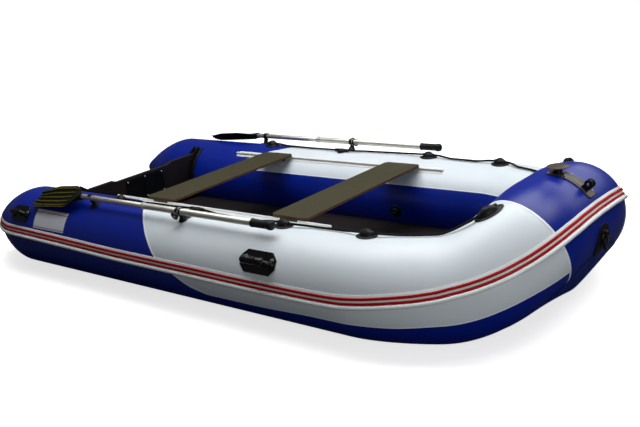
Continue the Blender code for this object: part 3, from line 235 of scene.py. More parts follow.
@dataclass(frozen=True)
class CoatedFabric(Finish):
    """PVC coated polyester: calendered, satin, its threads showing faintly through.

    Attributes:
        second: Colour inside the pale panel, or empty for a fabric of one colour.
        tape: Colour of the thin cut edge between the two.
        thread_mm: Spacing of the threads, drawn at 3 mm because the real 1 mm is too fine to show.
        tape_half_mm: Half the width of that edge.
    """

    second: str = ""
    tape: str = "#f6f8f9"
    thread_mm: float = 3.0
    tape_half_mm: float = 3.2

    def dress(self, tree: Tree, shader: Node) -> None:
        """Adds the panels, the weave and the soft unevenness of cloth under air.

        Args:
            tree: The material's tree.
            shader: Its Principled node.
        """
        skin = add(tree, "ShaderNodeUVMap", uv_map="skin").outputs["UV"]
        axes = add(tree, "ShaderNodeSeparateXYZ", {"Vector": skin})
        turns = 2000.0 * math.pi / self.thread_mm
        warp = calc(tree, "SINE", calc(tree, "MULTIPLY", axes.outputs["X"], turns))
        weft = calc(tree, "SINE", calc(tree, "MULTIPLY", axes.outputs["Y"], turns))
        swell = calc(tree, "MULTIPLY", self.noise(tree, 140.0, 1.0), 16.0)
        self.relief(tree, shader, calc(tree, "ADD", calc(tree, "MULTIPLY", warp, weft), swell), 0.04)
        self.wander(tree, shader, 220.0, 0.05)
        ground = self.tint(tree, self.colour, 320.0, 0.90)
        if self.second:
            depth = add(tree, "ShaderNodeAttribute", attribute_name="panel").outputs["Fac"]
            panel = self.tint(tree, self.second, 320.0, 0.965)
            ground = mixed(tree, calc(tree, "GREATER_THAN", depth, 0.0), ground, panel)
            edge = calc(tree, "LESS_THAN", calc(tree, "ABSOLUTE", depth), self.tape_half_mm / 1000.0)
            ground = mixed(tree, edge, ground, linear(self.tape))
        self.paint(tree, shader, ground)


@dataclass(frozen=True)
class Rubber(Finish):
    """Moulded PVC or rubber: matt, with a fine spark-eroded grain.

    Attributes:
        grain_mm: Width of the grain, drawn at 2.5 mm because the real 0.4 mm is too fine to show.
    """

    grain_mm: float = 2.5

    def dress(self, tree: Tree, shader: Node) -> None:
        """Adds the grain, and dust that greys the colour in places.

        Args:
            tree: The material's tree.
            shader: Its Principled node.
        """
        self.relief(tree, shader, self.noise(tree, self.grain_mm, 3.0), 0.05)
        self.wander(tree, shader, 30.0, 0.05)
        self.paint(tree, shader, self.tint(tree, self.colour, 25.0, 0.8))


@dataclass(frozen=True)
class FilmPlywood(Finish):
    """Film-faced birch plywood: smooth dyed faces, and open edges where the plies show.

    Attributes:
        edge: Colour of the pale plies.
        glue: Colour of the dark plies between them.
        ply_mm: Thickness of one ply.
        axis: The axis across the plies.
    """

    edge: str = "#a5743c"
    glue: str = "#5d3a1c"
    ply_mm: float = 1.5
    axis: str = "Z"

    def dress(self, tree: Tree, shader: Node) -> None:
        """Adds the film's mottle on the faces and the plies on the edges.

        Args:
            tree: The material's tree.
            shader: Its Principled node.
        """
        spot = add(tree, "ShaderNodeTexCoord").outputs["Object"]
        normal = add(tree, "ShaderNodeNewGeometry").outputs["Normal"]
        facing, across = (
            add(tree, "ShaderNodeSeparateXYZ", {"Vector": vector}).outputs[self.axis]
            for vector in (normal, spot)
        )
        plies = calc(tree, "SINE", calc(tree, "MULTIPLY", across, 1000.0 * math.pi / self.ply_mm))
        grain = self.noise(tree, 1.6, 4.0, (14, 2, 1))
        wood = mixed(tree, ranged(tree, plies, -0.3, 0.3, 0.0, 1.0), linear(self.glue), linear(self.edge))
        wood = mixed(tree, ranged(tree, grain, 0.35, 0.65, 0.0, 0.45), wood, linear(self.glue))
        film = self.tint(tree, self.colour, 45.0, 0.82)
        fleck = ranged(tree, self.noise(tree, 2.2, 5.0, (5, 1, 1)), 0.5, 0.75, 0.0, 0.35)
        film = mixed(tree, fleck, film, linear(self.glue))
        face = calc(tree, "GREATER_THAN", calc(tree, "ABSOLUTE", facing), 0.72)
        self.paint(tree, shader, mixed(tree, face, wood, film))
        gloss = calc(tree, "MULTIPLY_ADD", face, self.roughness - 0.8, 0.8)
        feed(
            tree, shader.inputs["Roughness"], calc(tree, "MULTIPLY_ADD", self.noise(tree, 70.0), 0.12, gloss)
        )
        self.relief(tree, shader, self.noise(tree, 2.2, 4.0, (8, 1, 1)), 0.10)


@dataclass(frozen=True)
class DrawnMetal(Finish):
    """Drawn tube or bent rod: fine lines along the drawing direction.

    Attributes:
        along: How many times longer the lines are than wide, along each axis.
        line_mm: Width of a line, drawn at 1.2 mm because the real ones are too fine to show.
    """

    along: tuple[float, float, float] = (60.0, 1.0, 1.0)
    line_mm: float = 1.2

    def dress(self, tree: Tree, shader: Node) -> None:
        """Adds the lines, and a slight dulling where hands and clips rub.

        Args:
            tree: The material's tree.
            shader: Its Principled node.
        """
        lines = self.noise(tree, self.line_mm, 2.0, self.along)
        self.relief(tree, shader, lines, 0.005)
        worn = calc(tree, "MULTIPLY_ADD", self.noise(tree, 90.0), 0.18, self.roughness - 0.09)
        tree.links.new(calc(tree, "MULTIPLY_ADD", lines, 0.12, worn), shader.inputs["Roughness"])
        self.paint(tree, shader, self.tint(tree, self.colour, 120.0, 0.86))


@dataclass(frozen=True)
class Braid(Finish):
    """Braided polyester: each strand catches the light by itself.

    Attributes:
        fleck: Colour of the worn strands.
    """

    fleck: str = "#17191b"

    def dress(self, tree: Tree, shader: Node) -> None:
        """Adds strands of unlike greys and their fibres.

        Args:
            tree: The material's tree.
            shader: Its Principled node.
        """
        worn = ranged(tree, self.noise(tree, 3.0, 3.0), 0.5, 0.75, 0.0, 1.0)
        self.paint(tree, shader, mixed(tree, worn, linear(self.colour), linear(self.fleck)))
        self.relief(tree, shader, self.noise(tree, 0.9, 2.0), 0.15)


@dataclass(frozen=True)
class RibbedNylon(Finish):
    """Injection moulded nylon: glossy ribs, with a painted highlight in a paler colour along their tops and
    the rim.

    Attributes:
        crest: Paler colour painted as a highlight along the tops of the ribs and the rim.
    """

    crest: str = "#8a831c"

    def dress(self, tree: Tree, shader: Node) -> None:
        """Adds the paler crests and the mould's flow marks.

        Args:
            Adds the painted highlight along the tops of the ribs and the rim, and the mould's flow marks.
            shader: Its Principled node.
        """
        # Painted highlight: the tops of the ribs and the rim are mixed towards a paler colour
        rib = add(tree, "ShaderNodeAttribute", attribute_name="crest").outputs["Fac"]
        share = ranged(tree, rib, 0.5, 1.0, 0.0, 0.42)
        body = self.tint(tree, self.colour, 40.0, 0.7)
        self.paint(tree, shader, mixed(tree, share, body, linear(self.crest)))
        self.wander(tree, shader, 50.0, 0.06)
        self.relief(tree, shader, self.noise(tree, 9.0, 2.0, (4, 1, 1)), 0.12)


# Royal blue and white PVC: the two fabrics of the tubes, cut as panels from roll
TUBE_FABRIC = CoatedFabric("pvc_fabric_calendered_blue_white", "#02208c", 0.34, ior=1.42, second="#dce5eb")
BLUE_FABRIC = CoatedFabric("pvc_fabric_calendered_blue", "#02208c", 0.34, ior=1.42)
GREY_FABRIC = CoatedFabric("pvc_fabric_calendered_grey", "#7d8187", 0.45, ior=1.46)
SEAM_TAPE = Finish("pvc_tape_cut_white", "#eef3f6", 0.42)
STRAKE_WHITE = Finish("pvc_strake_extruded_white", "#e6edee", 0.32)
STRAKE_RED = Finish("pvc_strake_extruded_red", "#a80206", 0.40, ior=1.3)
RAIL_WHITE = Finish("pvc_bolt_rope_white", "#e6e9e6", 0.42)
# Film-faced birch ply: the film shows on the faces and the plies on the cut edges
SEAT_PLY = FilmPlywood("birch_ply_film_olive", "#403d28", 0.42, ior=1.4, edge="#6a4a2a", glue="#38220f")
FLOOR_PLY = FilmPlywood("birch_ply_film_dark", "#07090f", 0.6, ior=1.3)
TRANSOM_PLY = FilmPlywood(
    "birch_ply_lacquered_dark", "#160e0c", 0.42, ior=1.4, edge="#2c2414", glue="#17100a", axis="X"
)
BLACK_RUBBER = Rubber("rubber_moulded_black", "#08090a", 0.46, ior=1.36)
BLACK_PLASTIC = Rubber("polyamide_moulded_black", "#07080a", 0.34, ior=1.4, grain_mm=4.0)
GLOSS_BLACK = Rubber("rubber_moulded_black_glossy", "#050607", 0.24, ior=1.42, grain_mm=9.0)
OLIVE_NYLON = RibbedNylon("nylon_moulded_olive_black", "#0c0b05", 0.42, ior=1.26)
BOW_PLASTIC = Rubber("polyamide_moulded_bronze_grey", "#4a3f36", 0.34, grain_mm=3.0)
DRAWN_ALUMINIUM = DrawnMetal("aluminium_tube_drawn", "#e6e3da", 0.46, 1.0)
BENT_STEEL = DrawnMetal("stainless_rod_polished", "#b9bab8", 0.24, 1.0, along=(1.0, 1.0, 1.0))
DARK_STEEL = DrawnMetal("steel_rod_blackened", "#3c3a36", 0.30, 1.0, along=(1.0, 1.0, 1.0))
ROPE_BLACK = Braid("polyester_rope_braided_black", "#060708", 0.7, ior=1.3)
PATCH_WHITE = Finish("pvc_patch_white", "#cfd4dc", 0.40)
PATCH_RED = Finish("pvc_patch_red", "#a3181c", 0.40)


# Meshes


def linked(name: str, data: bpy.types.ID) -> Object:
    """Makes an object of this data and links it to the scene.

    Args:
        name: The object's name.
        data: Its mesh, lamp or camera.

    Returns:
        The new object.
    """
    made = bpy.data.objects.new(name, data)
    bpy.context.scene.collection.objects.link(made)
    return made


def mesh_object(name: str, mesh: bpy.types.Mesh, *finishes: Finish, sharp: float = 40.0) -> Object:
    """Links a mesh as an object at the origin, smooth up to an angle.

    Args:
        name: The piece's name.
        mesh: Its mesh, in the boat's frame.
        finishes: Materials in the order of the faces' numbers.
        sharp: Edges over this many degrees stay sharp.

    Returns:
        The new object.
    """
    mesh.name = name
    for finish in finishes:
        mesh.materials.append(finish.material())
    mesh.shade_smooth()
    mesh.set_sharp_from_angle(angle=math.radians(sharp))
    return linked(name, mesh)


def from_bmesh(name: str, bm: Shape, *finishes: Finish, sharp: float = 40.0) -> Object:
    """Turns a bmesh into an object, with its normals outward, and frees it.

    Args:
        name: The piece's name.
        bm: Its shape, which is used up.
        finishes: Materials in the order of the faces' numbers.
        sharp: Edges over this many degrees stay sharp.

    Returns:
        The new object.
    """
    bmesh.ops.recalc_face_normals(bm, faces=bm.faces)
    mesh = bpy.data.meshes.new(name)
    bm.to_mesh(mesh)
    bm.free()
    return mesh_object(name, mesh, *finishes, sharp=sharp)


def skin(
    name: str,
    grid: Array,
    *finishes: Finish,
    closed: bool = True,
    ends: bool = True,
    uv: Array | None = None,
    fields: dict[str, Array] | None = None,
    pick: Sequence[int] | None = None,
    sharp: float = 40.0,
) -> Object:
    """A surface through rows of points.

    Args:
        name: The piece's name.
        grid: Points, as rows by columns by 3.
        finishes: Its materials.
        closed: Whether the last column joins the first.
        ends: Whether the first and last rows are capped.
        uv: Two coordinates a point, with one more column than the grid if it is closed.
        fields: Values at the points, by attribute name.
        pick: The finish's number for each column.
        sharp: Edges over this many degrees stay sharp.

    Returns:
        The new object.
    """
    rows, columns = grid.shape[:2]
    index = np.arange(rows * columns).reshape(rows, columns)
    here, after = (index, np.roll(index, -1, 1)) if closed else (index[:, :-1], index[:, 1:])
    faces = np.stack([here[:-1], after[:-1], after[1:], here[1:]], -1).reshape(-1, 4).tolist()
    count = len(faces)
    if ends:
        faces += [index[0][::-1].tolist(), index[-1].tolist()]
    mesh = bpy.data.meshes.new(name)
    mesh.from_pydata(grid.reshape(-1, 3).tolist(), [], faces)
    if uv is not None:
        corners = np.stack([uv[:-1, :-1], uv[:-1, 1:], uv[1:, 1:], uv[1:, :-1]], 2).reshape(-1, 2)
        flat = np.zeros((len(mesh.loops), 2), np.float32)
        flat[: len(corners)] = corners
        mesh.uv_layers.new(name="skin").data.foreach_set("uv", flat.ravel())
    for key, values in (fields or {}).items():
        layer = mesh.attributes.new(key, "FLOAT", "POINT")
        layer.data.foreach_set("value", np.ascontiguousarray(values, np.float32).ravel())
    if pick is not None:
        wide = here.shape[1]
        chosen = [pick[k % wide] for k in range(count)] + [0] * (len(faces) - count)
        mesh.polygons.foreach_set("material_index", chosen)
    bm = bmesh.new()
    bm.from_mesh(mesh)
    bmesh.ops.recalc_face_normals(bm, faces=bm.faces)
    bm.to_mesh(mesh)
    bm.free()
    return mesh_object(name, mesh, *finishes, sharp=sharp)


def lay(bm: Shape, matrix: Matrix) -> Shape:
    """Moves a whole bmesh by a matrix and returns it."""
    bmesh.ops.transform(bm, matrix=matrix, verts=bm.verts)
    return bm


def banded(bm: Shape, rings: list[list[bmesh.types.BMVert]], capped: bool = True) -> Shape:
    """Joins closed rings of vertices by bands of faces, with or without faces over the two ends.

    Args:
        bm: The shape that holds the rings.
        rings: Rings with the same number of vertices.
        capped: Whether the ends get a face.

    Returns:
        The same shape.
    """
    for low, high in zip(rings, rings[1:]):
        for k in range(len(low)):
            after = (k + 1) % len(low)
            bm.faces.new((low[k], low[after], high[after], high[k]))
    if capped:
        bm.faces.new(rings[0][::-1])
        bm.faces.new(rings[-1])
    return bm


def turned(profile: Profile, matrix: Matrix, steps: int = 64) -> Shape:
    """A turned shape round local Z, from a profile of (radius, height).

    Args:
        profile: Radii and heights along the outline.
        matrix: Where the shape goes.
        steps: Number of its sides.

    Returns:
        The shape.
    """
    bm = bmesh.new()
    verts = [bm.verts.new((r, 0.0, z)) for r, z in profile]
    edges = [bm.edges.new(pair) for pair in zip(verts, verts[1:])]
    bmesh.ops.spin(
        bm, geom=verts + edges, axis=(0, 0, 1), cent=(0, 0, 0), angle=2 * math.pi, steps=steps, use_merge=True
    )
    bmesh.ops.remove_doubles(bm, verts=bm.verts, dist=1e-6)
    return lay(bm, matrix)


def prism(outline: Profile, thickness: float, matrix: Matrix) -> Shape:
    """A flat outline in local XY, extruded up local Z from 0.

    Args:
        outline: Its corners.
        thickness: Its height.
        matrix: Where it goes.

    Returns:
        The shape.
    """
    bm = bmesh.new()
    rings = [[bm.verts.new((x, y, z)) for x, y in outline] for z in (0.0, thickness)]
    return lay(banded(bm, rings), matrix)


def block(size: tuple[float, float, float], matrix: Matrix) -> Shape:
    """A box about the matrix's origin.

    Args:
        size: Its size along each axis.
        matrix: Where it goes.

    Returns:
        The shape.
    """
    bm = bmesh.new()
    bmesh.ops.create_cube(bm, size=1.0, matrix=Matrix.Diagonal((*size, 1.0)))
    return lay(bm, matrix)


def softened(shape: Shape, width: float) -> Shape:
    """Rounds all edges of a shape and returns it."""
    bmesh.ops.bevel(shape, geom=shape.edges[:], offset=width, segments=3, affect="EDGES", profile=0.5)
    return shape


def swept(
    points: Sequence[Vector] | Array, radii: Sequence[float] | float, sides: int = 24, closed: bool = False
) -> Shape:
    """A round bar along points, with one radius or with one at each of them.

    Args:
        points: Points of its axis.
        radii: One radius, or one for each point.
        sides: Number of its sides.
        closed: Whether the last point joins the first.

    Returns:
        The shape.
    """
    bm = bmesh.new()
    points = [Vector(point) for point in points]
    count = len(points)
    if isinstance(radii, float):
        radii = [radii] * count
    normal = None
    rings = []
    for k, here in enumerate(points):
        ahead = points[(k + 1) % count] if closed or k < count - 1 else here
        behind = points[k - 1] if closed or k else here
        along = (ahead - behind).normalized()
        if normal is None:
            normal = along.orthogonal().normalized()
        normal = (normal - along * normal.dot(along)).normalized()
        other = along.cross(normal)
        turns = [2 * math.pi * j / sides for j in range(sides)]
        ways = (normal * math.cos(t) + other * math.sin(t) for t in turns)
        rings.append([bm.verts.new(here + way * radii[k]) for way in ways])
    if closed:
        gap = min(range(sides), key=lambda j: (rings[0][j].co - rings[-1][0].co).length)
        rings.append(rings[0][gap:] + rings[0][:gap])
    return banded(bm, rings, not closed)


def rounded(width: float, depth: float, radius: float, steps: int = 8) -> list[tuple[float, float]]:
    """A rectangle with round corners, about its middle.

    Args:
        width: Its size along X.
        depth: Its size along Y.
        radius: Radius of the corners.
        steps: Edges of each corner.

    Returns:
        Its points.
    """
    points = []
    for cx, cy, start in ((1, 1, 0), (-1, 1, 90), (-1, -1, 180), (1, -1, 270)):
        for k in range(steps + 1):
            a = math.radians(start + 90 * k / steps)
            x = cx * (width / 2 - radius) + radius * math.cos(a)
            y = cy * (depth / 2 - radius) + radius * math.sin(a)
            points.append((x, y))
    return points


def circle(count: int) -> Array:
    """Evenly spaced angles round one full turn, in radians."""
    return np.linspace(0, 2 * math.pi, count + 1)[:-1]


def ellipse(width: float, depth: float, count: int = 64) -> list[tuple[float, float]]:
    """An ellipse about its middle."""
    turns = [2 * math.pi * k / count for k in range(count)]
    return [(width / 2 * math.cos(t), depth / 2 * math.sin(t)) for t in turns]


def applied(made: Object) -> Object:
    """Applies an object's modifiers, so that its mesh is what shows.

    Args:
        made: The object.

    Returns:
        The same object.
    """
    bpy.context.view_layer.update()
    graph = bpy.context.evaluated_depsgraph_get()
    mesh = bpy.data.meshes.new_from_object(made.evaluated_get(graph), depsgraph=graph)
    made.modifiers.clear()
    made.data = mesh
    return made


def moulded(name: str, shapes: Sequence[Shape], finish: Finish, voxel: float, blur: int = 4) -> Object:
    """Melts overlapping shapes into one moulding with soft inner and outer corners.

    Args:
        name: The piece's name.
        shapes: Closed shapes, which are used up.
        finish: Its material.
        voxel: Size of the remesher's cells.
        blur: How often the skin is smoothed.

    Returns:
        The moulding.
    """
    whole = bmesh.new()
    for shape in shapes:
        bmesh.ops.recalc_face_normals(shape, faces=shape.faces)
        loose = bpy.data.meshes.new("loose")
        shape.to_mesh(loose)
        shape.free()
        whole.from_mesh(loose)
        bpy.data.meshes.remove(loose)
    mesh = bpy.data.meshes.new(name)
    whole.to_mesh(mesh)
    whole.free()
    made = mesh_object(name, mesh, finish)
    remesh = made.modifiers.new("Melt", "REMESH")
    remesh.mode = "VOXEL"
    remesh.voxel_size = voxel
    remesh.use_smooth_shade = True
    soften = made.modifiers.new("Soften", "SMOOTH")
    soften.factor = 0.5
    soften.iterations = blur
    applied(made)
    made.data.shade_smooth()
    if not made.data.materials:
        made.data.materials.append(finish.material())
    return made


def aim(origin: Vector, x_axis: Vector, z_axis: Vector) -> Matrix:
    """A placement with local X near one direction and local Z along another.

    Args:
        origin: Its place.
        x_axis: Direction that local X lies near.
        z_axis: Direction of local Z.

    Returns:
        The placement.
    """
    z = z_axis.normalized()
    y = z.cross(x_axis).normalized()
    made = Matrix((y.cross(z), y, z)).transposed().to_4x4()
    made.translation = origin
    return made


# Lines of the tubes


class Side(Enum):
    """The two sides of the boat, by the sign of Y."""

    STARBOARD = -1.0
    PORT = 1.0

    @property
    def label(self) -> str:
        """The side's word in the names of nodes and pieces."""
        return self.name.lower()


@dataclass(frozen=True)
class TubeLines:
    """The run of the tubes: two straight cylinders with cones aft, joined by a bent bow.

    Attributes:
        radius: Radius of the full tube.
        half_spacing: From the centre plane to a side tube's axis.
        middle_x: Where the origin lies.
        stern_x: Where the cones end.
        ground: Height of the side tubes' axes.
        straight_end: Where the bend starts, from the same zero as the origin.
        bow_x: The bow's axis, from the same zero as the origin.
        bow_flat: Half of the bow's straight part.
        handle_aft: The bend's handle along the side tube.
        handle_side: The bend's handle along the bow.
        sheer: How far the bow's axis lies above the side tubes'.
        sheer_runs: Runs at which the sheer starts and ends.
        seam: Run of the seam between a side chamber and the bow's.
        cone: Length of the stern cone.
        tip: Radius of its end.
        power: How full the cone is: 1 is straight.
    """

    radius: float = 0.2275
    half_spacing: float = 0.61
    middle_x: float = 1.916
    stern_x: float = 0.060
    ground: float = 0.2275 * math.cos(math.pi / 24)
    straight_end: float = 2.915
    bow_x: float = 3.52
    bow_flat: float = 0.16
    handle_aft: float = 0.14
    handle_side: float = 0.315
    sheer: float = 0.165
    sheer_runs: tuple[float, float] = (0.635, 0.105)
    seam: float = 0.243
    cone: float = 0.42
    tip: float = 0.034
    power: float = 1.45

    @cached_property
    def table(self) -> Array:
        """Run, x and y along half of the centreline, from the middle of the bow aft."""
        flat = [(self.bow_x, self.bow_flat * k / 8) for k in range(8)]
        t = 1 - np.arange(160)[:, None] / 160
        a = np.array((self.straight_end, self.half_spacing))
        d = np.array((self.bow_x, self.bow_flat))
        b = a + (self.handle_aft, 0.0)
        c = d + (0.0, self.handle_side)
        bend = a * (1 - t) ** 3 + 3 * b * t * (1 - t) ** 2 + 3 * c * t * t * (1 - t) + d * t**3
        line = np.vstack([flat, bend, a, (self.stern_x, self.half_spacing)])
        steps = np.linalg.norm(np.diff(line, axis=0), axis=1)
        return np.column_stack([np.concatenate([[0.0], np.cumsum(steps)]), line])

    @property
    def straight_run(self) -> float:
        """Run of the bend's end."""
        return float(self.table[-2, 0])

    @property
    def stern_run(self) -> float:
        """Run of the stern tip."""
        return float(self.table[-1, 0])

    def run_at(self, x: float | Array) -> float | Array:
        """Turns an x, from the same zero as middle_x, into a run of the straight tube, and back."""
        return self.straight_run + self.straight_end - x

    def middle(self, runs: Array, side: float) -> Array:
        """Points of the centreline. Negative runs lie on the other side of the bow.

        Args:
            runs: Runs back from the bow.
            side: The side's sign.

        Returns:
            Points, in the shape of the runs.
        """
        back = np.abs(runs)
        x = np.interp(back, self.table[:, 0], self.table[:, 1]) - self.middle_x
        y = np.interp(back, self.table[:, 0], self.table[:, 2]) * np.where(runs >= 0, side, -side)
        start, end = self.sheer_runs
        climb = self.sheer * (1 - np.cos(math.pi * np.clip((start - back) / (start - end), 0, 1))) / 2
        return np.stack([x, y, self.ground + climb], -1)

    def axes(self, runs: Array, side: float) -> tuple[Array, Array, Array]:
        """Outboard, upward and forward directions of the tube at these runs.

        Args:
            runs: Runs back from the bow.
            side: The side's sign.

        Returns:
            The three directions, each in the shape of the runs.
        """
        step = 0.004
        ahead = self.middle(runs - step, side)
        forward = ahead - self.middle(np.minimum(runs + step, self.stern_run), side)
        forward /= np.linalg.norm(forward, axis=-1, keepdims=True)
        out = np.cross(forward, (0.0, 0.0, 1.0))
        out /= np.linalg.norm(out, axis=-1, keepdims=True)
        up = np.cross(out, forward)
        return (-out if side > 0 else out), up, forward

    def width(self, runs: Array) -> Array:
        """Radius of the tube at these runs."""
        share = np.clip((self.stern_run - np.abs(runs)) / self.cone, 0, 1)
        return self.tip + (self.radius - self.tip) * (1 - (1 - share) ** self.power)

    def spots(self, runs: Array, side: float, angles: Array, lifts: Array) -> Array:
        """Points over the tube's skin.

        Args:
            runs: Runs back from the bow.
            side: The side's sign.
            angles: Ring angles in degrees.
            lifts: Heights over the skin.

        Returns:
            Points, in the shape that the three make together.
        """
        runs, angles, lifts = np.broadcast_arrays(*(np.asarray(v, float) for v in (runs, angles, lifts)))
        out, up, _ = self.axes(runs, side)
        turn = np.radians(angles)[..., None]
        reach = (self.width(runs) + lifts)[..., None]
        return self.middle(runs, side) + (out * np.cos(turn) + up * np.sin(turn)) * reach

    def spot(self, run: float, side: float, angle: float, lift: float = 0.0) -> Vector:
        """One point over the tube's skin."""
        return Vector(self.spots(run, side, angle, lift))

    def outward(self, run: float, side: float, angle: float) -> Vector:
        """Direction out of the tube at a point of its skin.

        Args:
            run: Run back from the bow.
            side: The side's sign.
            angle: Ring angle in degrees.

        Returns:
            The direction.
        """
        out, up, _ = self.axes(np.asarray(run, float), side)
        turn = math.radians(angle)
        return Vector(out * math.cos(turn) + up * math.sin(turn))

    def seat(self, run: float, side: float, angle: float, lift: float = 0.0) -> Matrix:
        """A placement on the skin: local X to the bow and local Z out of the tube."""
        _, _, forward = self.axes(np.asarray(run, float), side)
        return aim(self.spot(run, side, angle, lift), Vector(forward), self.outward(run, side, angle))

    def pad(self, place: "Place", shape: Profile, levels: Profile) -> Shape:
        """A closed pad that follows the skin.

        Args:
            place: The pad's middle.
            shape: Its outline, as (along towards the bow, up round the tube) in metres.
            levels: Rings of it as (scale, lift), from the under side to the top.

        Returns:
            The pad.
        """
        outline = np.array(shape)
        rings = []
        for scale, lift in levels:
            along, around = outline[:, 0] * scale, outline[:, 1] * scale
            angles = place.angle + np.degrees(around / self.radius)
            rings.append(self.spots(place.run - along, place.side, angles, lift))
        bm = bmesh.new()
        return banded(bm, [[bm.verts.new(point) for point in ring] for ring in rings])


@dataclass(frozen=True)
class Place:
    """A place on the skin of the tubes.

    Attributes:
        run: Run back from the middle of the bow.
        side: The side's sign.
        angle: Ring angle in degrees.
    """

    run: float
    side: float
    angle: float


LINES = TubeLines()
GAP = 0.0003


def fit(made: Object, body: str, slot: str, *nodes: str) -> None:
    """Args:
        made: The piece.
        body: The body that it moves with.
        slot: Its material slot; not used.
        nodes: Names of the frame's nodes that it replaces.
    """
    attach(made, body)
    if nodes:
        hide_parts(*nodes)


def ease(value: Array | float) -> Array | float:
    """Turns 0..1 into a soft start and a soft end, held outside."""
    t = np.clip(value, 0.0, 1.0)
    return t * t * (3.0 - 2.0 * t)


def through(knots: Profile, values: Array | float) -> Array:
    """A smooth line through knots of (where, value), without overshoot.

    Args:
        knots: The line's knots, in order.
        values: Where it is read.

    Returns:
        Its values there.
    """
    at, height = (np.array(column, float) for column in zip(*knots))
    slope = np.diff(height) / np.diff(at)
    tangent = np.zeros(len(at))
    same = slope[:-1] * slope[1:] > 0
    tangent[1:-1][same] = 2 * slope[:-1][same] * slope[1:][same] / (slope[:-1] + slope[1:])[same]
    tangent[0], tangent[-1] = slope[0], slope[-1]
    x = np.clip(np.asarray(values, float), at[0], at[-1])
    k = np.clip(np.searchsorted(at, x) - 1, 0, len(at) - 2)
    span = at[k + 1] - at[k]
    t = (x - at[k]) / span
    low = height[k] * (1 + 2 * t) * (1 - t) ** 2 + tangent[k] * span * t * (1 - t) ** 2
    return low + height[k + 1] * t * t * (3 - 2 * t) + tangent[k + 1] * span * t * t * (t - 1)


# Tubes, strakes and bottom


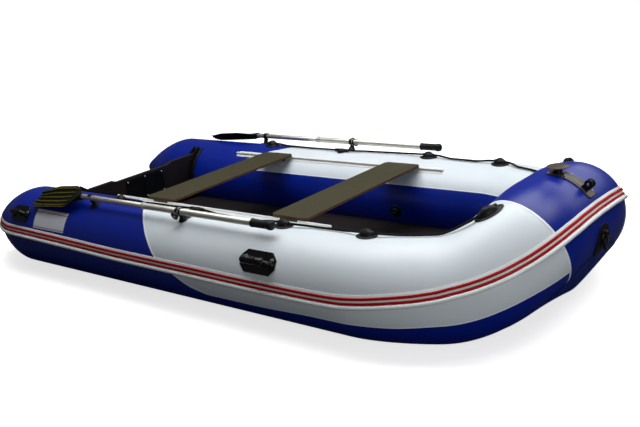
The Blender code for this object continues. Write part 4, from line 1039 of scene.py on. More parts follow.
@dataclass(frozen=True)
class Tubes:
    """The three air chambers, cut from two fabrics, and the tapes on their seams.

    Attributes:
        around: Points round the tube.
        step: Distance between the rings.
        aft_edge: The white panel's aft edge, as (ring angle, distance from the stern tip).
        low_edge: Its lower edge, as (run, ring angle).
        inner_edge: Ring angle of its inboard edge.
        pucker: Depth of the folds on the inside of the bend.
    """

    around: int = 112
    step: float = 0.0125
    aft_edge: Profile = (
        (-90.0, 2.30), (-27.0, 2.112), (-19.0, 2.01), (-7.0, 1.923), (11.5, 1.791), (30.0, 1.719),
        (47.0, 1.657), (66.0, 1.586), (90.0, 1.49), (103.5, 1.418), (117.6, 1.306), (148.0, 1.13),
        (270.0, 1.0),
    )
    low_edge: Profile = (
        (0.243, -19.0), (0.40, -17.0), (0.60, -16.5), (0.80, -21.0), (1.10, -22.0), (1.50, -26.5),
        (2.0, -27.0), (4.0, -27.0),
    )
    inner_edge: float = 148.0
    pucker: float = 0.0022

    def dents(self, runs: Array, angles: Array) -> Array:
        """How far the skin lies under a true tube: folds inside the bend, and pinched seams.

        Args:
            runs: Runs back from the bow.
            angles: Ring angles in degrees.

        Returns:
            Lifts, which are below zero.
        """
        back = np.abs(runs)
        bend = ease((LINES.straight_run + 0.05 - back) / 0.15) * ease((back - 0.05) / 0.12)
        inboard = np.clip(-np.cos(np.radians(angles)), 0, 1) ** 2
        folds = 0.5 + 0.5 * np.sin(back * 2 * math.pi / 0.058 + 0.6 * np.sin(np.radians(angles) * 3))
        seam = np.exp(-(((back - LINES.seam) / 0.010) ** 2))
        return -self.pucker * bend * inboard * folds**2 - 0.0007 * seam

    def chamber(self, name: str, runs: Array, side: float, finish: Finish, panelled: bool) -> Object:
        """One chamber, with its bulkheads.

        Args:
            name: The piece's name.
            runs: Runs of its rings.
            side: The side's sign.
            finish: Its fabric.
            panelled: Whether it carries the white panel.

        Returns:
            The chamber.
        """
        angles = np.linspace(-90.0, 270.0, self.around + 1)
        grid_runs, grid_angles = np.meshgrid(runs, angles, indexing="ij")
        points = LINES.spots(grid_runs, side, grid_angles, self.dents(grid_runs, grid_angles))
        points[..., 2] = np.maximum(points[..., 2], 0.0)
        uv = np.stack([grid_runs, np.radians(grid_angles) * LINES.radius], -1)
        fields = None
        if panelled:
            fore = LINES.run_at(grid_runs) - through(self.aft_edge, grid_angles)
            inner = np.radians(self.inner_edge - grid_angles) * LINES.radius
            low = np.radians(grid_angles - through(self.low_edge, grid_runs)) * LINES.radius
            fields = {"panel": np.minimum(np.minimum(fore, inner), low)[:, :-1]}
        return skin(name, points[:, :-1], finish, uv=uv, fields=fields, sharp=50.0)

    def tape(self, name: str, runs: Array, side: float, angles: Array, width: float) -> Object:
        """A thin tape stuck along a line on the skin.

        Args:
            name: The piece's name.
            runs: Runs along the tape.
            side: The side's sign.
            angles: Ring angles along it.
            width: Its width.

        Returns:
            The tape.
        """
        line = np.stack([runs, np.radians(angles) * LINES.radius], -1)
        along = np.gradient(line, axis=0)
        along /= np.linalg.norm(along, axis=-1, keepdims=True)
        across = np.stack([-along[:, 1], along[:, 0]], -1)
        half = ((-0.5, 0.0001), (-0.46, 0.0008), (-0.2, 0.0009))
        shares = np.array((*half, *((-share, lift) for share, lift in reversed(half))))
        flat = line[:, None] + across[:, None] * shares[None, :, :1] * width
        dent = self.dents(flat[..., 0], np.degrees(flat[..., 1] / LINES.radius))
        points = LINES.spots(
            flat[..., 0], side, np.degrees(flat[..., 1] / LINES.radius), shares[None, :, 1] + dent
        )
        points[..., 2] = np.maximum(points[..., 2], 0.0)
        return skin(name, points, SEAM_TAPE, sharp=60.0)

    def build(self) -> None:
        """Builds the chambers and their tapes."""
        half = GAP / 2
        count = round((LINES.stern_run - LINES.seam) / self.step)
        runs = np.linspace(LINES.seam + half, LINES.stern_run, count)
        steps = 120
        seam_at, seam = np.full(steps, LINES.seam + 0.002), np.linspace(-75.0, 178.0, steps)
        edge = np.linspace(-26.0, 147.0, steps)
        edge_at = LINES.run_at(through(self.aft_edge, edge))
        for side in Side:
            made = self.chamber(f"air_chamber_{side.label}", runs, side.value, TUBE_FABRIC, True)
            fit(made, "hull", "pvc_blue", f"tube_{side.label}")
            fit(self.tape(f"seam_tape_{side.label}", seam_at, side.value, seam, 0.0065), "hull", "pvc_blue")
            fit(self.tape(f"panel_tape_{side.label}", edge_at, side.value, edge, 0.009), "hull", "pvc_blue")
        reach = LINES.seam - half
        runs = np.linspace(reach, -reach, 44)
        fit(self.chamber("air_chamber_bow", runs, 1.0, BLUE_FABRIC, False), "hull", "pvc_blue", "tube_bow")


@dataclass(frozen=True)
class Strake:
    """The rub strake: a flange with two red beads over a thick white roll.

    Attributes:
        flange: Its upper part, as (up round the tube, lift), from its upper edge down.
        beads: Which of those points start a red face.
        roll_middle: Middle of the roll, as (up, lift).
        roll_size: Half width and half height of the roll.
        line: Ring angle of the strake's middle, as (run, angle).
    """

    flange: Profile = (
        (0.0306, 0.0008), (0.0302, 0.0024), (0.0262, 0.0036), (0.0206, 0.0042), (0.0196, 0.0044),
        (0.0190, 0.0064), (0.0168, 0.0084), (0.0128, 0.0092), (0.0090, 0.0086), (0.0068, 0.0068),
        (0.0062, 0.0050), (0.0052, 0.0046), (-0.0006, 0.0046), (-0.0014, 0.0052), (-0.0020, 0.0070),
        (-0.0040, 0.0090), (-0.0072, 0.0097), (-0.0104, 0.0090), (-0.0122, 0.0074), (-0.0130, 0.0062),
    )
    beads: tuple[int, ...] = (4, 5, 6, 7, 8, 13, 14, 15, 16, 17, 18)
    roll_middle: tuple[float, float] = (-0.0229, 0.0035)
    roll_size: tuple[float, float] = (0.0104, 0.0140)
    line: Profile = (
        (0.0, 23.4), (0.06, 23.1), (0.12, 22.95), (0.16, 23.5), (0.20, 23.7), (0.24, 22.95), (0.28, 21.8),
        (0.32, 20.6), (0.36, 19.9), (0.40, 19.4), (0.50, 19.4), (0.56, 19.0), (0.62, 17.0), (0.70, 13.5),
        (0.80, 10.2), (0.90, 7.0), (1.0, 4.6), (1.2, 3.5), (1.4, 3.3), (1.8, 4.0), (2.4, 4.8), (2.83, 7.1),
        (3.43, 9.8),
    )

    def middle(self, runs: Array) -> Array:
        """Ring angle of the strake's middle at these runs."""
        return through(self.line, np.abs(runs))

    def section(self) -> Array:
        """The closed section, as (up, lift)."""
        turns = np.radians(np.linspace(152.0, 0.0, 22))
        up = self.roll_middle[0] - self.roll_size[0] * np.cos(turns)
        lift = self.roll_middle[1] + self.roll_size[1] * np.sin(turns)
        roll = np.stack([up, lift], -1)
        under = np.stack([np.linspace(-0.030, 0.031, 8), np.full(8, GAP)], -1)
        return np.vstack([self.flange, roll, under])

    def length(self, name: str, runs: Array, side: float) -> Object:
        """One chamber's length of strake.

        Args:
            name: The piece's name.
            runs: Runs of its rings.
            side: The side's sign.

        Returns:
            The length.
        """
        section = self.section()
        taper = ease((LINES.stern_run - np.abs(runs)) / 0.16 + 0.05)[:, None]
        wide = np.maximum(LINES.width(runs), 0.1)[:, None]
        angles = self.middle(runs)[:, None] + np.degrees(section[None, :, 0] * (0.55 + 0.45 * taper) / wide)
        lifts = np.maximum(section[None, :, 1] * (0.35 + 0.65 * taper), GAP)
        points = LINES.spots(runs[:, None] + 0 * angles, side, angles, lifts)
        pick = [int(k in self.beads) for k in range(len(section))]
        return skin(name, points, STRAKE_WHITE, STRAKE_RED, pick=pick, sharp=38.0)

    def build(self) -> None:
        """Builds the strake's three lengths."""
        runs = np.linspace(LINES.seam + GAP / 2, LINES.stern_run - 0.06 * LINES.cone, 240)
        for side in Side:
            made = self.length(f"rub_strake_{side.label}", runs, side.value)
            fit(made, "hull", "strake_white", f"strake_{side.label}")
        reach = LINES.seam - GAP / 2
        made = self.length("rub_strake_bow", np.linspace(reach, -reach, 60), 1.0)
        fit(made, "hull", "strake_white", "strake_bow")


@dataclass(frozen=True)
class Bottom:
    """The bottom's fabric between the tubes, its blue forefoot, and the air keel over it.

    Attributes:
        sheet: Thickness of the fabric.
        stern: Its aft edge, from the stern tips.
        leave: Ring angle at which it leaves the tubes, as (run, angle).
        stem: The keel line, as (run, how far it lies ahead of the edges, height).
        forefoot: Run at which the blue fabric starts.
        lap: Overlap of the two fabrics, and the blue one's distance from the bow's middle.
        floor_under: Height of the floorboards' under side.
        span: Ends of the air keel, from the stern tips.
    """

    sheet: float = 0.0012
    stern: float = 0.673
    leave: Profile = (
        (0.0, -33.0), (0.1, -30.5), (0.2, -32.5), (0.3, -45.5), (0.4, -60.5), (0.5, -75.3), (0.6, -88.5),
        (0.7, -99.0), (0.82, -109.0), (0.95, -112.0), (4.0, -112.0),
    )
    stem: tuple[tuple[float, float, float], ...] = (
        (0.0, -0.032, 0.216), (0.1, -0.060, 0.172), (0.2, -0.094, 0.112), (0.3, -0.092, 0.066),
        (0.4, -0.074, 0.036), (0.5, -0.037, 0.021), (0.6, 0.006, 0.0145), (0.7, 0.006, 0.0132),
        (0.8, 0.0, 0.0132), (4.0, 0.0, 0.0132),
    )
    forefoot: float = 0.62
    lap: float = 0.012
    floor_under: float = 0.115
    span: tuple[float, float] = (0.80, 2.86)

    def edge(self, runs: Array) -> Array:
        """Where the sheet leaves the port tube."""
        return LINES.spots(runs, 1.0, through(self.leave, runs), self.sheet / 2 + 0.0018)

    def keel(self, runs: Array) -> tuple[Array, Array]:
        """How far the keel line lies ahead of the edges, and its height."""
        at, ahead, height = zip(*self.stem)
        return through(tuple(zip(at, ahead)), runs), through(tuple(zip(at, height)), runs)

    def fabric(self, name: str, runs: Array, finish: Finish) -> Object:
        """One length of the sheet.

        Args:
            name: The piece's name.
            runs: Runs of its edges, from aft to the bow.
            finish: Its fabric.

        Returns:
            The sheet.
        """
        edge, (ahead, keel) = self.edge(runs), self.keel(runs)
        share = np.linspace(-1.0, 1.0, 41)
        inward = 1 - np.abs(share) ** 1.12
        x = edge[:, :1] + ahead[:, None] * (1 - np.abs(share))
        drop = (edge[:, 2] - keel)[:, None] * inward
        top = np.stack([x, edge[:, 1:2] * share, edge[:, 2:] - drop + self.sheet / 2], -1)
        ring = np.concatenate([top, (top - (0, 0, self.sheet))[:, ::-1]], 1)
        ring[..., 2] = np.maximum(ring[..., 2], 0.0)
        uv = np.concatenate([ring[..., :2], ring[:, :1, :2]], 1)
        made = skin(name, ring, finish, uv=uv, sharp=50.0)
        return made

    def build(self) -> None:
        """Builds the sheet, its forefoot and the air keel."""
        runs = np.linspace(LINES.run_at(self.stern), self.forefoot - self.lap, 90)
        made = self.fabric("bottom_fabric", runs, GREY_FABRIC)
        fit(made, "hull", "pvc_grey", "hull_bottom")
        made = self.fabric("bottom_forefoot", np.linspace(self.forefoot, self.lap, 70), BLUE_FABRIC)
        fit(made, "hull", "pvc_blue")
        rings, corners = 120, 57
        runs = LINES.run_at(np.linspace(*self.span, rings))
        low = self.keel(runs)[1] + self.sheet / 2 + GAP
        high = self.floor_under - GAP
        ends = np.minimum(runs.max() - runs, runs - runs.min())
        size = 0.3 + 0.7 * np.sqrt(1 - (1 - np.clip(ends / 0.16, 0, 1)) ** 2)
        radius = size * (high - low) / 2
        turns = np.radians(np.linspace(0, 360, corners))
        y = radius[:, None] * np.sin(turns)
        z = low[:, None] + radius[:, None] * (1 - np.cos(turns))
        x = np.repeat((LINES.run_at(runs) - LINES.middle_x)[:, None], corners, 1)
        points = np.stack([x, y, z], -1)
        uv = np.stack([x, np.repeat(turns[None] * 0.05, rings, 0)], -1)
        made = skin("air_keel", points[:, :-1], GREY_FABRIC, uv=uv, sharp=50.0)
        fit(made, "hull", "pvc_grey", "keel_tube")


# Fittings


# Under side of a pad that is welded to the skin, as rings of (scale, lift)
LOW = GAP + 0.0005
UNDER = ((0.1, LOW), (0.5, LOW), (1.0, LOW))
# The rowlocks' x, from the same zero as LINES.middle_x
ROWLOCK_X = 1.885
# The oars' shafts lie this far out and up from the axes of the side tubes
SHAFT_OUT, SHAFT_UP = 0.102, 0.2609
SHAFT_ANGLE = math.degrees(math.atan2(SHAFT_UP, SHAFT_OUT))
SHAFT_LIFT = math.hypot(SHAFT_OUT, SHAFT_UP) - LINES.radius


def dense(shape: Profile, step: float = 0.006) -> list[tuple[float, float]]:
    """Divides the edges of a closed outline, so that it can bend with the tube.

    Args:
        shape: The outline.
        step: Longest edge that is left whole.

    Returns:
        The outline with more points.
    """
    points = []
    for a, b in zip(shape, [*shape[1:], shape[0]]):
        count = max(1, round(math.dist(a, b) / step))
        points += [(a[0] + (b[0] - a[0]) * k / count, a[1] + (b[1] - a[1]) * k / count) for k in range(count)]
    return points


def node_group(name: str, **sockets: str) -> tuple[Tree, bpy.types.bpy_prop_collection]:
    """Starts a Geometry Nodes group.

    Args:
        name: The group's name.
        sockets: Kind of each input, by its name.

    Returns:
        The group, and the outputs of its input node.
    """
    tree = bpy.data.node_groups.new(name, "GeometryNodeTree")
    for label, kind in sockets.items():
        tree.interface.new_socket(label, in_out="INPUT", socket_type=f"NodeSocket{kind}")
    tree.interface.new_socket("Result", in_out="OUTPUT", socket_type="NodeSocketGeometry")
    return tree, add(tree, "NodeGroupInput").outputs


def finish_group(tree: Tree, geometry: Socket, finish: Socket) -> None:
    """Realizes what a group made, gives it its material and hands it out.

    Args:
        tree: The group.
        geometry: What it made.
        finish: The material that it was given.
    """
    solid = add(tree, "GeometryNodeRealizeInstances", {"Geometry": geometry}).outputs[0]
    painted = add(tree, "GeometryNodeSetMaterial", {"Geometry": solid, "Material": finish}).outputs[0]
    add(tree, "NodeGroupOutput", {0: painted})


def grown(made: Object, tree: Tree, **inputs: object) -> Object:
    """Runs a node group on an object with these inputs, and keeps the result as its mesh.

    Args:
        made: The object.
        tree: The node group.
        inputs: Values of its inputs, by name.

    Returns:
        The same object.
    """
    mod = made.modifiers.new("Grow", "NODES")
    mod.node_group = tree
    sockets = {item.name: item.identifier for item in tree.interface.items_tree}
    for label, value in inputs.items():
        mod[sockets[label]] = value
    return applied(made)


def repeated(name: str, part: Object, places: Sequence[Matrix], finish: Finish) -> Object:
    """Repeats a small part with Geometry Nodes, and removes the loose original.

    Args:
        name: The finished piece's name.
        part: The part, about the origin.
        places: Where copies of it go.
        finish: Its material.

    Returns:
        All copies as one piece.
    """
    tree, given = node_group(f"{name}_repeat", Places="Geometry", Part="Object", Finish="Material")
    turn = add(tree, "GeometryNodeInputNamedAttribute", {"Name": "turn"}, data_type="FLOAT_VECTOR").outputs[0]
    shape = add(tree, "GeometryNodeObjectInfo", {"Object": given["Part"]}).outputs["Geometry"]
    laid = add(
        tree, "GeometryNodeInstanceOnPoints",
        {"Points": given["Places"], "Instance": shape, "Rotation": turn},
    )
    finish_group(tree, laid.outputs[0], given["Finish"])
    mesh = bpy.data.meshes.new(name)
    mesh.from_pydata([tuple(place.translation) for place in places], [], [])
    turns = np.array([tuple(place.to_euler()) for place in places], np.float32)
    mesh.attributes.new("turn", "FLOAT_VECTOR", "POINT").data.foreach_set("vector", turns.ravel())
    made = grown(linked(name, mesh), tree, Part=part, Finish=finish.material())
    bpy.data.objects.remove(part)
    return made


def knurl(
    seat: Matrix, count: int, radius: float, levels: tuple[float, float], radii: tuple[float, float]
) -> list[Shape]:
    """Upright beads round a turned part, from one height to another.

    Args:
        seat: The part's placement.
        count: Number of beads.
        radius: Distance from the axis.
        levels: Heights of their ends.
        radii: Their radii at the two ends.

    Returns:
        The beads.
    """
    shapes = []
    for k in range(count):
        t = 2 * math.pi * k / count
        ends = [seat @ Vector((radius * math.cos(t), radius * math.sin(t), level)) for level in levels]
        shapes.append(swept(ends, radii, 10))
    return shapes


def screw(radius: float) -> Object:
    """A pan head screw with a cross recess, about the origin.

    Args:
        radius: Radius of the head.

    Returns:
        The screw.
    """
    profile = ((0.0, 0.42), (0.30, 0.40), (0.72, 0.28), (0.95, 0.08), (1.0, -0.02), (1.0, -0.2))
    head = turned([(r * radius, z * radius) for r, z in profile], Matrix(), 20)
    bmesh.ops.holes_fill(head, edges=head.edges)
    made = from_bmesh("screw", head, BENT_STEEL)
    for turn in (0.0, math.pi / 2):
        place = Matrix.Rotation(turn, 4, "Z") @ Matrix.Translation((0, 0, 0.5 * radius))
        slot = block((1.2 * radius, 0.22 * radius, 0.5 * radius), place)
        cutter = from_bmesh("screw_slot", slot, BENT_STEEL)
        mod = made.modifiers.new("Slot", "BOOLEAN")
        mod.operation = "DIFFERENCE"
        mod.solver = "EXACT"
        mod.object = cutter
        applied(made)
        bpy.data.objects.remove(cutter)
    return made


@dataclass(frozen=True)
class MotorBoard:
    """What is fixed to the transom: channels at its ends, clamp plates and screws.

    Attributes:
        x: Middle of the board.
        thick: Its thickness.
        arc: Ring angles that the channels cover.
        ridges: Where ridges run on the channels' flanges, from the board's middle.
        plate_z: Middle of the plates.
        plate_thick: Their thickness.
        screws: The screws' places on a plate, as (y, z) from its middle.
    """

    x: float = 0.718
    thick: float = 0.030
    arc: tuple[float, float] = (231.5, 118.5)
    ridges: tuple[float, ...] = (-0.0405, -0.0345, -0.0285, 0.0285, 0.0345, 0.0405)
    plate_z: float = 0.309
    plate_thick: float = 0.007
    screws: Profile = (
        (-0.138, 0.061), (-0.138, -0.061), (0.0, 0.064), (0.0, -0.064), (0.138, 0.061), (0.138, -0.061)
    )

    def build(self) -> None:
        """Adds the ridges and the screws to the frame's own board, plates and channels."""
        count = 44
        angles = np.linspace(*self.arc, count)
        ends = np.minimum(np.arange(count), np.arange(count)[::-1]) / 3.0
        lifts = 0.0042 - 0.0012 * np.clip(1 - ends, 0, 1)
        for side in Side:
            for number, ridge in enumerate(self.ridges, 1):
                spots = LINES.spots(LINES.run_at(self.x + ridge), side.value, angles, lifts)
                bar = swept(spots, 0.0019, 10)
                fit(
                    from_bmesh(f"channel_ridge_{side.label}_{number}", bar, BLACK_RUBBER), "hull",
                    "black_rubber",
                )
        places = []
        for face in (-1.0, 1.0):
            x = self.x + face * (self.thick / 2 + GAP + self.plate_thick) - LINES.middle_x
            for y, z in self.screws:
                places.append(aim(Vector((x, y, self.plate_z + z)), Vector((0, 1, 0)), Vector((face, 0, 0))))
        fit(repeated("plate_screws", screw(0.0062), places, BENT_STEEL), "hull", "steel")


@dataclass(frozen=True)
class SeatRail:
    """A bolt rope rail: a round bead on a thin stem over a welded flange.

    Attributes:
        span: Its ends.
        angle: Ring angle of the bead.
        bead: The bead's radius.
        lift: The bead's height over the skin.
        wing: Half width of the flange, in degrees round the tube.
    """

    span: tuple[float, float] = (1.10, 2.66)
    angle: float = 121.5
    bead: float = 0.0055
    lift: float = 0.0090
    wing: float = 5.5

    def build(self, side: Side) -> None:
        """Builds one rail, with its flange rounded off at both ends.

        Args:
            side: The side of the boat.
        """
        reach = LINES.radius + self.lift
        turns = np.radians(np.linspace(-160.0, 160.0, 29))
        bead = np.stack(
            [np.degrees(self.bead * np.sin(turns) / reach), self.lift + self.bead * np.cos(turns)], -1
        )
        stem = math.degrees(0.0014 / LINES.radius)
        under = np.stack([np.linspace(self.wing, -self.wing, 15), np.full(15, GAP + 0.0003)], -1)
        over = np.array(
            ((-self.wing, 0.0015), (-self.wing * 0.93, 0.0022), (-stem - 0.3, 0.0024), (-stem, 0.0030))
        )
        back = over[::-1] * (-1, 1)
        section = np.vstack([under, over, bead, back])
        backs = np.array((0.0, 0.0012, 0.004, 0.009, 0.016))
        shrink = np.array((0.55, 0.68, 0.82, 0.95, 1.0))
        start, end = self.span
        places = np.concatenate([start + backs, np.linspace(start + 0.06, end - 0.06, 30), end - backs[::-1]])
        shares = np.concatenate([shrink, np.ones(30), shrink[::-1]])
        wide = np.abs(section[:, 0]) > 2.0
        angles = self.angle + section[None, :, 0] * np.where(wide[None], shares[:, None], 1.0)
        runs = LINES.run_at(places)[:, None] + 0 * angles
        points = LINES.spots(runs, side.value, angles, section[None, :, 1] + 0 * angles)
        made = skin(f"seat_bolt_rope_{side.label}", points, RAIL_WHITE, sharp=40.0)
        fit(made, "hull", "strake_white", f"seat_rail_{side.label}")


@dataclass(frozen=True)
class CarryHandle:
    """A moulded pad with cut corners and a thick barrel grip.

    Attributes:
        name: Start of the names of its pieces and nodes.
        x: Its middle, from the same zero as the origin.
        angle: Ring angle.
        size: Length and depth of the pad.
        lift: Height of the barrel's axis.
        barrel: Its radius.
        neck: Radius of the bar that carries it.
        groove: Spacing of the barrel's grooves.
    """

    name: str
    x: float
    angle: float
    size: tuple[float, float]
    lift: float
    barrel: float
    neck: float = 0.0105
    groove: float = 0.021

    def build(self, side: Side) -> None:
        """Builds the handle as one moulding.

        Args:
            side: The side of the boat.
        """
        run = LINES.run_at(self.x)
        length, depth = self.size
        corner = depth * 0.30
        x, y = length / 2, depth / 2
        half = [(x, -y + corner), (x, y - corner), (x - corner, y), (-x + corner, y)]
        shape = dense(half + [(-u, -v) for u, v in half])
        levels = (
            (0.1, LOW), (0.45, LOW), (1.0, LOW), (1.0, 0.0034), (0.985, 0.0050), (0.93, 0.0052),
            (0.90, 0.0036), (0.45, 0.0034), (0.1, 0.0034),
        )
        shapes = [LINES.pad(Place(run, side.value, self.angle), shape, levels)]
        reach = length / 2 - 0.026
        turns = np.linspace(0.0, math.pi, 73)
        along = -reach * np.copysign(np.abs(np.cos(turns)) ** 0.45, np.cos(turns))
        base = 0.0022
        lifts = base + (self.lift - base) * np.sin(turns) ** 0.6
        full = ease((0.80 - np.abs(along) / reach) / 0.07)
        grooves = np.cos(along * 2 * math.pi / self.groove) > 0.86
        radii = self.neck + (self.barrel - self.neck) * full - 0.0007 * full * grooves
        spots = LINES.spots(run - along, side.value, self.angle, lifts)
        shapes.append(swept(spots, radii.tolist(), 40))
        foot = ((0.1, 0.001), (1.0, 0.001), (1.0, 0.0050), (0.90, 0.0080), (0.62, 0.0125), (0.1, 0.0130))
        for end in (-1.0, 1.0):
            place = Place(run - end * (reach - 0.002), side.value, self.angle)
            shapes.append(LINES.pad(place, ellipse(0.040, depth * 0.50, 40), foot))
        made = moulded(f"{self.name}_moulding_{side.label}", shapes, GLOSS_BLACK, 0.0014, 3)
        fit(made, "hull", "black_rubber", f"{self.name}_{side.label}")


def line_through(knots: Sequence[tuple[float, float, float]], side: float) -> list[Vector]:
    """The grab line's points, from its knots of (run, ring angle, lift).

    Args:
        knots: The knots, from aft.
        side: The side's sign.

    Returns:
        The points.
    """
    points = []
    for a, b in zip(knots, knots[1:]):
        count = 4 if abs(a[0] - b[0]) < 0.08 else 14
        for k in range(count):
            t = k / count
            e = float(ease(t))
            angle, lift = (a[i] + (b[i] - a[i]) * e for i in (1, 2))
            points.append(LINES.spot(a[0] + (b[0] - a[0]) * t, side, angle, lift))
    run, angle, lift = knots[-1]
    return [*points, LINES.spot(run, side, angle, lift)]


@dataclass(frozen=True)
class GrabLine:
    """A braided line along a tube, and the hoods that hold it.

    Attributes:
        radius: The line's radius.
        pitch: Length of one turn of its strands.
        strands: Number of strands, half of them turning each way.
        hood_lift: Height of the line in a hood.
        saddle_lift: Its height in the rowlock's saddle.
        free_lift: Its height between them.
    """

    radius: float = 0.0060
    pitch: float = 0.036
    strands: int = 8
    hood_lift: float = 0.0155
    saddle_lift: float = 0.0105
    free_lift: float = 0.0088

    @property
    def hoods(self) -> tuple[tuple[float, float], ...]:
        """The hoods' places, as (run, ring angle)."""
        at = LINES.run_at
        return ((at(1.30), 88.0), (at(2.49), 88.0), (at(2.95), 93.0), (0.315, 93.0))

    def route(self, side: float) -> list[Vector]:
        """The line's points, from the aft hood to the one at the bow.

        Args:
            side: The side's sign.

        Returns:
            The points.
        """
        at = LINES.run_at
        aft, middle, fore, bow = (run for run, _ in self.hoods)
        rowlock = at(ROWLOCK_X)
        high, low, saddle = self.hood_lift, self.free_lift, self.saddle_lift
        knots = [
            (aft + 0.012, 88.0, high), (aft - 0.045, 88.0, high), (at(1.46), 90.0, low),
            (at(1.66), 92.0, low), (rowlock + 0.035, 93.0, saddle), (rowlock - 0.035, 93.0, saddle),
            (at(2.08), 87.5, low), (at(2.28), 83.5, low), (middle + 0.050, 88.0, high),
            (middle - 0.050, 88.0, high), (at(2.66), 93.0, low), (at(2.80), 94.5, low),
            (fore + 0.050, 93.0, high), (fore - 0.050, 93.0, high), (0.80, 97.5, low), (0.56, 98.0, low),
            (bow + 0.055, 93.0, high), (bow + 0.005, 93.0, high),
        ]
        return line_through(knots, side)

    def braid(self) -> Tree:
        """Makes the node group that braids strands round a line and over a core."""
        kinds = {"Radius": "Float", "Pitch": "Float", "Strands": "Int", "Finish": "Material"}
        tree, given = node_group("braid", Line="Geometry", **kinds)
        curve = add(tree, "GeometryNodeMeshToCurve", {"Mesh": given["Line"]}).outputs[0]
        even = add(
            tree, "GeometryNodeResampleCurve", {"Curve": curve, "Length": 0.0030}, mode="LENGTH"
        ).outputs[0]
        inputs = {"Geometry": even, "Amount": given["Strands"]}
        copies = add(tree, "GeometryNodeDuplicateElements", inputs, domain="SPLINE")
        number = copies.outputs["Duplicate Index"]
        along = add(tree, "GeometryNodeSplineParameter").outputs["Length"]
        way = calc(tree, "MULTIPLY_ADD", calc(tree, "MODULO", number, 2.0), 2.0, -1.0)
        turn = calc(tree, "MULTIPLY", calc(tree, "DIVIDE", along, given["Pitch"]), 2 * math.pi)
        phase = calc(tree, "MULTIPLY", calc(tree, "FLOOR", calc(tree, "DIVIDE", number, 2.0)), math.pi / 2)
        angle = calc(tree, "MULTIPLY_ADD", turn, way, phase)
        weave = calc(tree, "MULTIPLY", calc(tree, "COSINE", calc(tree, "MULTIPLY", turn, 4.0)), way)
        reach = calc(tree, "MULTIPLY", given["Radius"], calc(tree, "MULTIPLY_ADD", weave, 0.07, 0.66))
        normal = add(tree, "GeometryNodeInputNormal").outputs[0]
        tangent = add(tree, "GeometryNodeInputTangent").outputs[0]
        other = add(
            tree, "ShaderNodeVectorMath", {0: tangent, 1: normal}, operation="CROSS_PRODUCT"
        ).outputs[0]
        steps = {}
        for number, (way_out, turned_by) in enumerate(((normal, "COSINE"), (other, "SINE"))):
            size = calc(tree, "MULTIPLY", reach, calc(tree, turned_by, angle))
            step = add(tree, "ShaderNodeVectorMath", {0: way_out, "Scale": size}, operation="SCALE")
            steps[number] = step.outputs[0]
        offset = add(tree, "ShaderNodeVectorMath", steps, operation="ADD").outputs[0]
        moved = add(
            tree, "GeometryNodeSetPosition", {"Geometry": copies.outputs[0], "Offset": offset}
        ).outputs[0]
        joined = add(tree, "GeometryNodeJoinGeometry")
        for line, share, sides in ((moved, 0.31, 6), (even, 0.62, 8)):
            size = calc(tree, "MULTIPLY", given["Radius"], share)
            ring = add(
                tree, "GeometryNodeCurvePrimitiveCircle", {"Resolution": sides, "Radius": size}
            ).outputs[0]
            inputs = {"Curve": line, "Profile Curve": ring, "Fill Caps": True}
            part = add(tree, "GeometryNodeCurveToMesh", inputs).outputs[0]
            tree.links.new(part, joined.inputs[0])
        finish_group(tree, joined.outputs[0], given["Finish"])
        return tree

    def build(self) -> None:
        """Builds both lines and their eight hoods."""
        tree = self.braid()
        for side in Side:
            points = self.route(side.value)
            mesh = bpy.data.meshes.new("grab_line")
            mesh.from_pydata([tuple(p) for p in points], [(k, k + 1) for k in range(len(points) - 1)], [])
            inputs = {"Radius": self.radius, "Pitch": self.pitch, "Strands": self.strands}
            made = linked(f"grab_line_{side.label}", mesh)
            grown(made, tree, **inputs, Finish=ROPE_BLACK.material())
            made.data.shade_smooth()
            fit(made, "hull", "rope", f"lifeline_{side.label}")
            for number, (run, angle) in enumerate(self.hoods, 1):
                self.hood(side, number, run, angle)

    def hood(self, side: Side, number: int, run: float, angle: float) -> None:
        """Builds one pointed hood, with lips where the line goes in.

        Args:
            side: The side of the boat.
            number: Its number, from aft.
            run: Run of its middle.
            angle: Ring angle in degrees.
        """
        place = Place(run, side.value, angle)
        levels = (
            *UNDER, (1.0, 0.0028), (0.97, 0.0042), (0.76, 0.0052), (0.69, 0.0085), (0.62, 0.0150),
            (0.54, 0.0215), (0.42, 0.0272), (0.27, 0.0306), (0.1, 0.0320),
        )
        shapes = [LINES.pad(place, ellipse(0.106, 0.074, 72), levels)]
        radii = (0.0105, 0.0100, 0.0092, 0.0080)
        shapes += lips(place, self.hood_lift, (0.010, 0.024, 0.033, 0.036), radii)
        wide = 0.0125
        ring = []
        for t in circle(32):
            turn = angle + math.degrees(wide * math.sin(t) / LINES.radius)
            ring.append(LINES.spot(run - wide * math.cos(t), side.value, turn, 0.0300))
        shapes.append(swept(ring, 0.0022, 10, True))
        made = moulded(f"line_hood_{side.label}_{number}", shapes, BLACK_RUBBER, 0.0011, 2)
        fit(made, "hull", "black_rubber", f"rope_holder_{side.label}_{number}")


def lips(place: Place, lift: float, reaches: Sequence[float], radii: Sequence[float]) -> list[Shape]:
    """The two lips that lead the line out of a fitting, before and behind its place.

    Args:
        place: The fitting's place.
        lift: Height of the line.
        reaches: Distances from the place along a lip.
        radii: Its radii there.

    Returns:
        The lips.
    """
    shapes = []
    for way in (-1.0, 1.0):
        spots = [LINES.spot(place.run + way * reach, place.side, place.angle, lift) for reach in reaches]
        shapes.append(swept(spots, radii, 24))
    return shapes


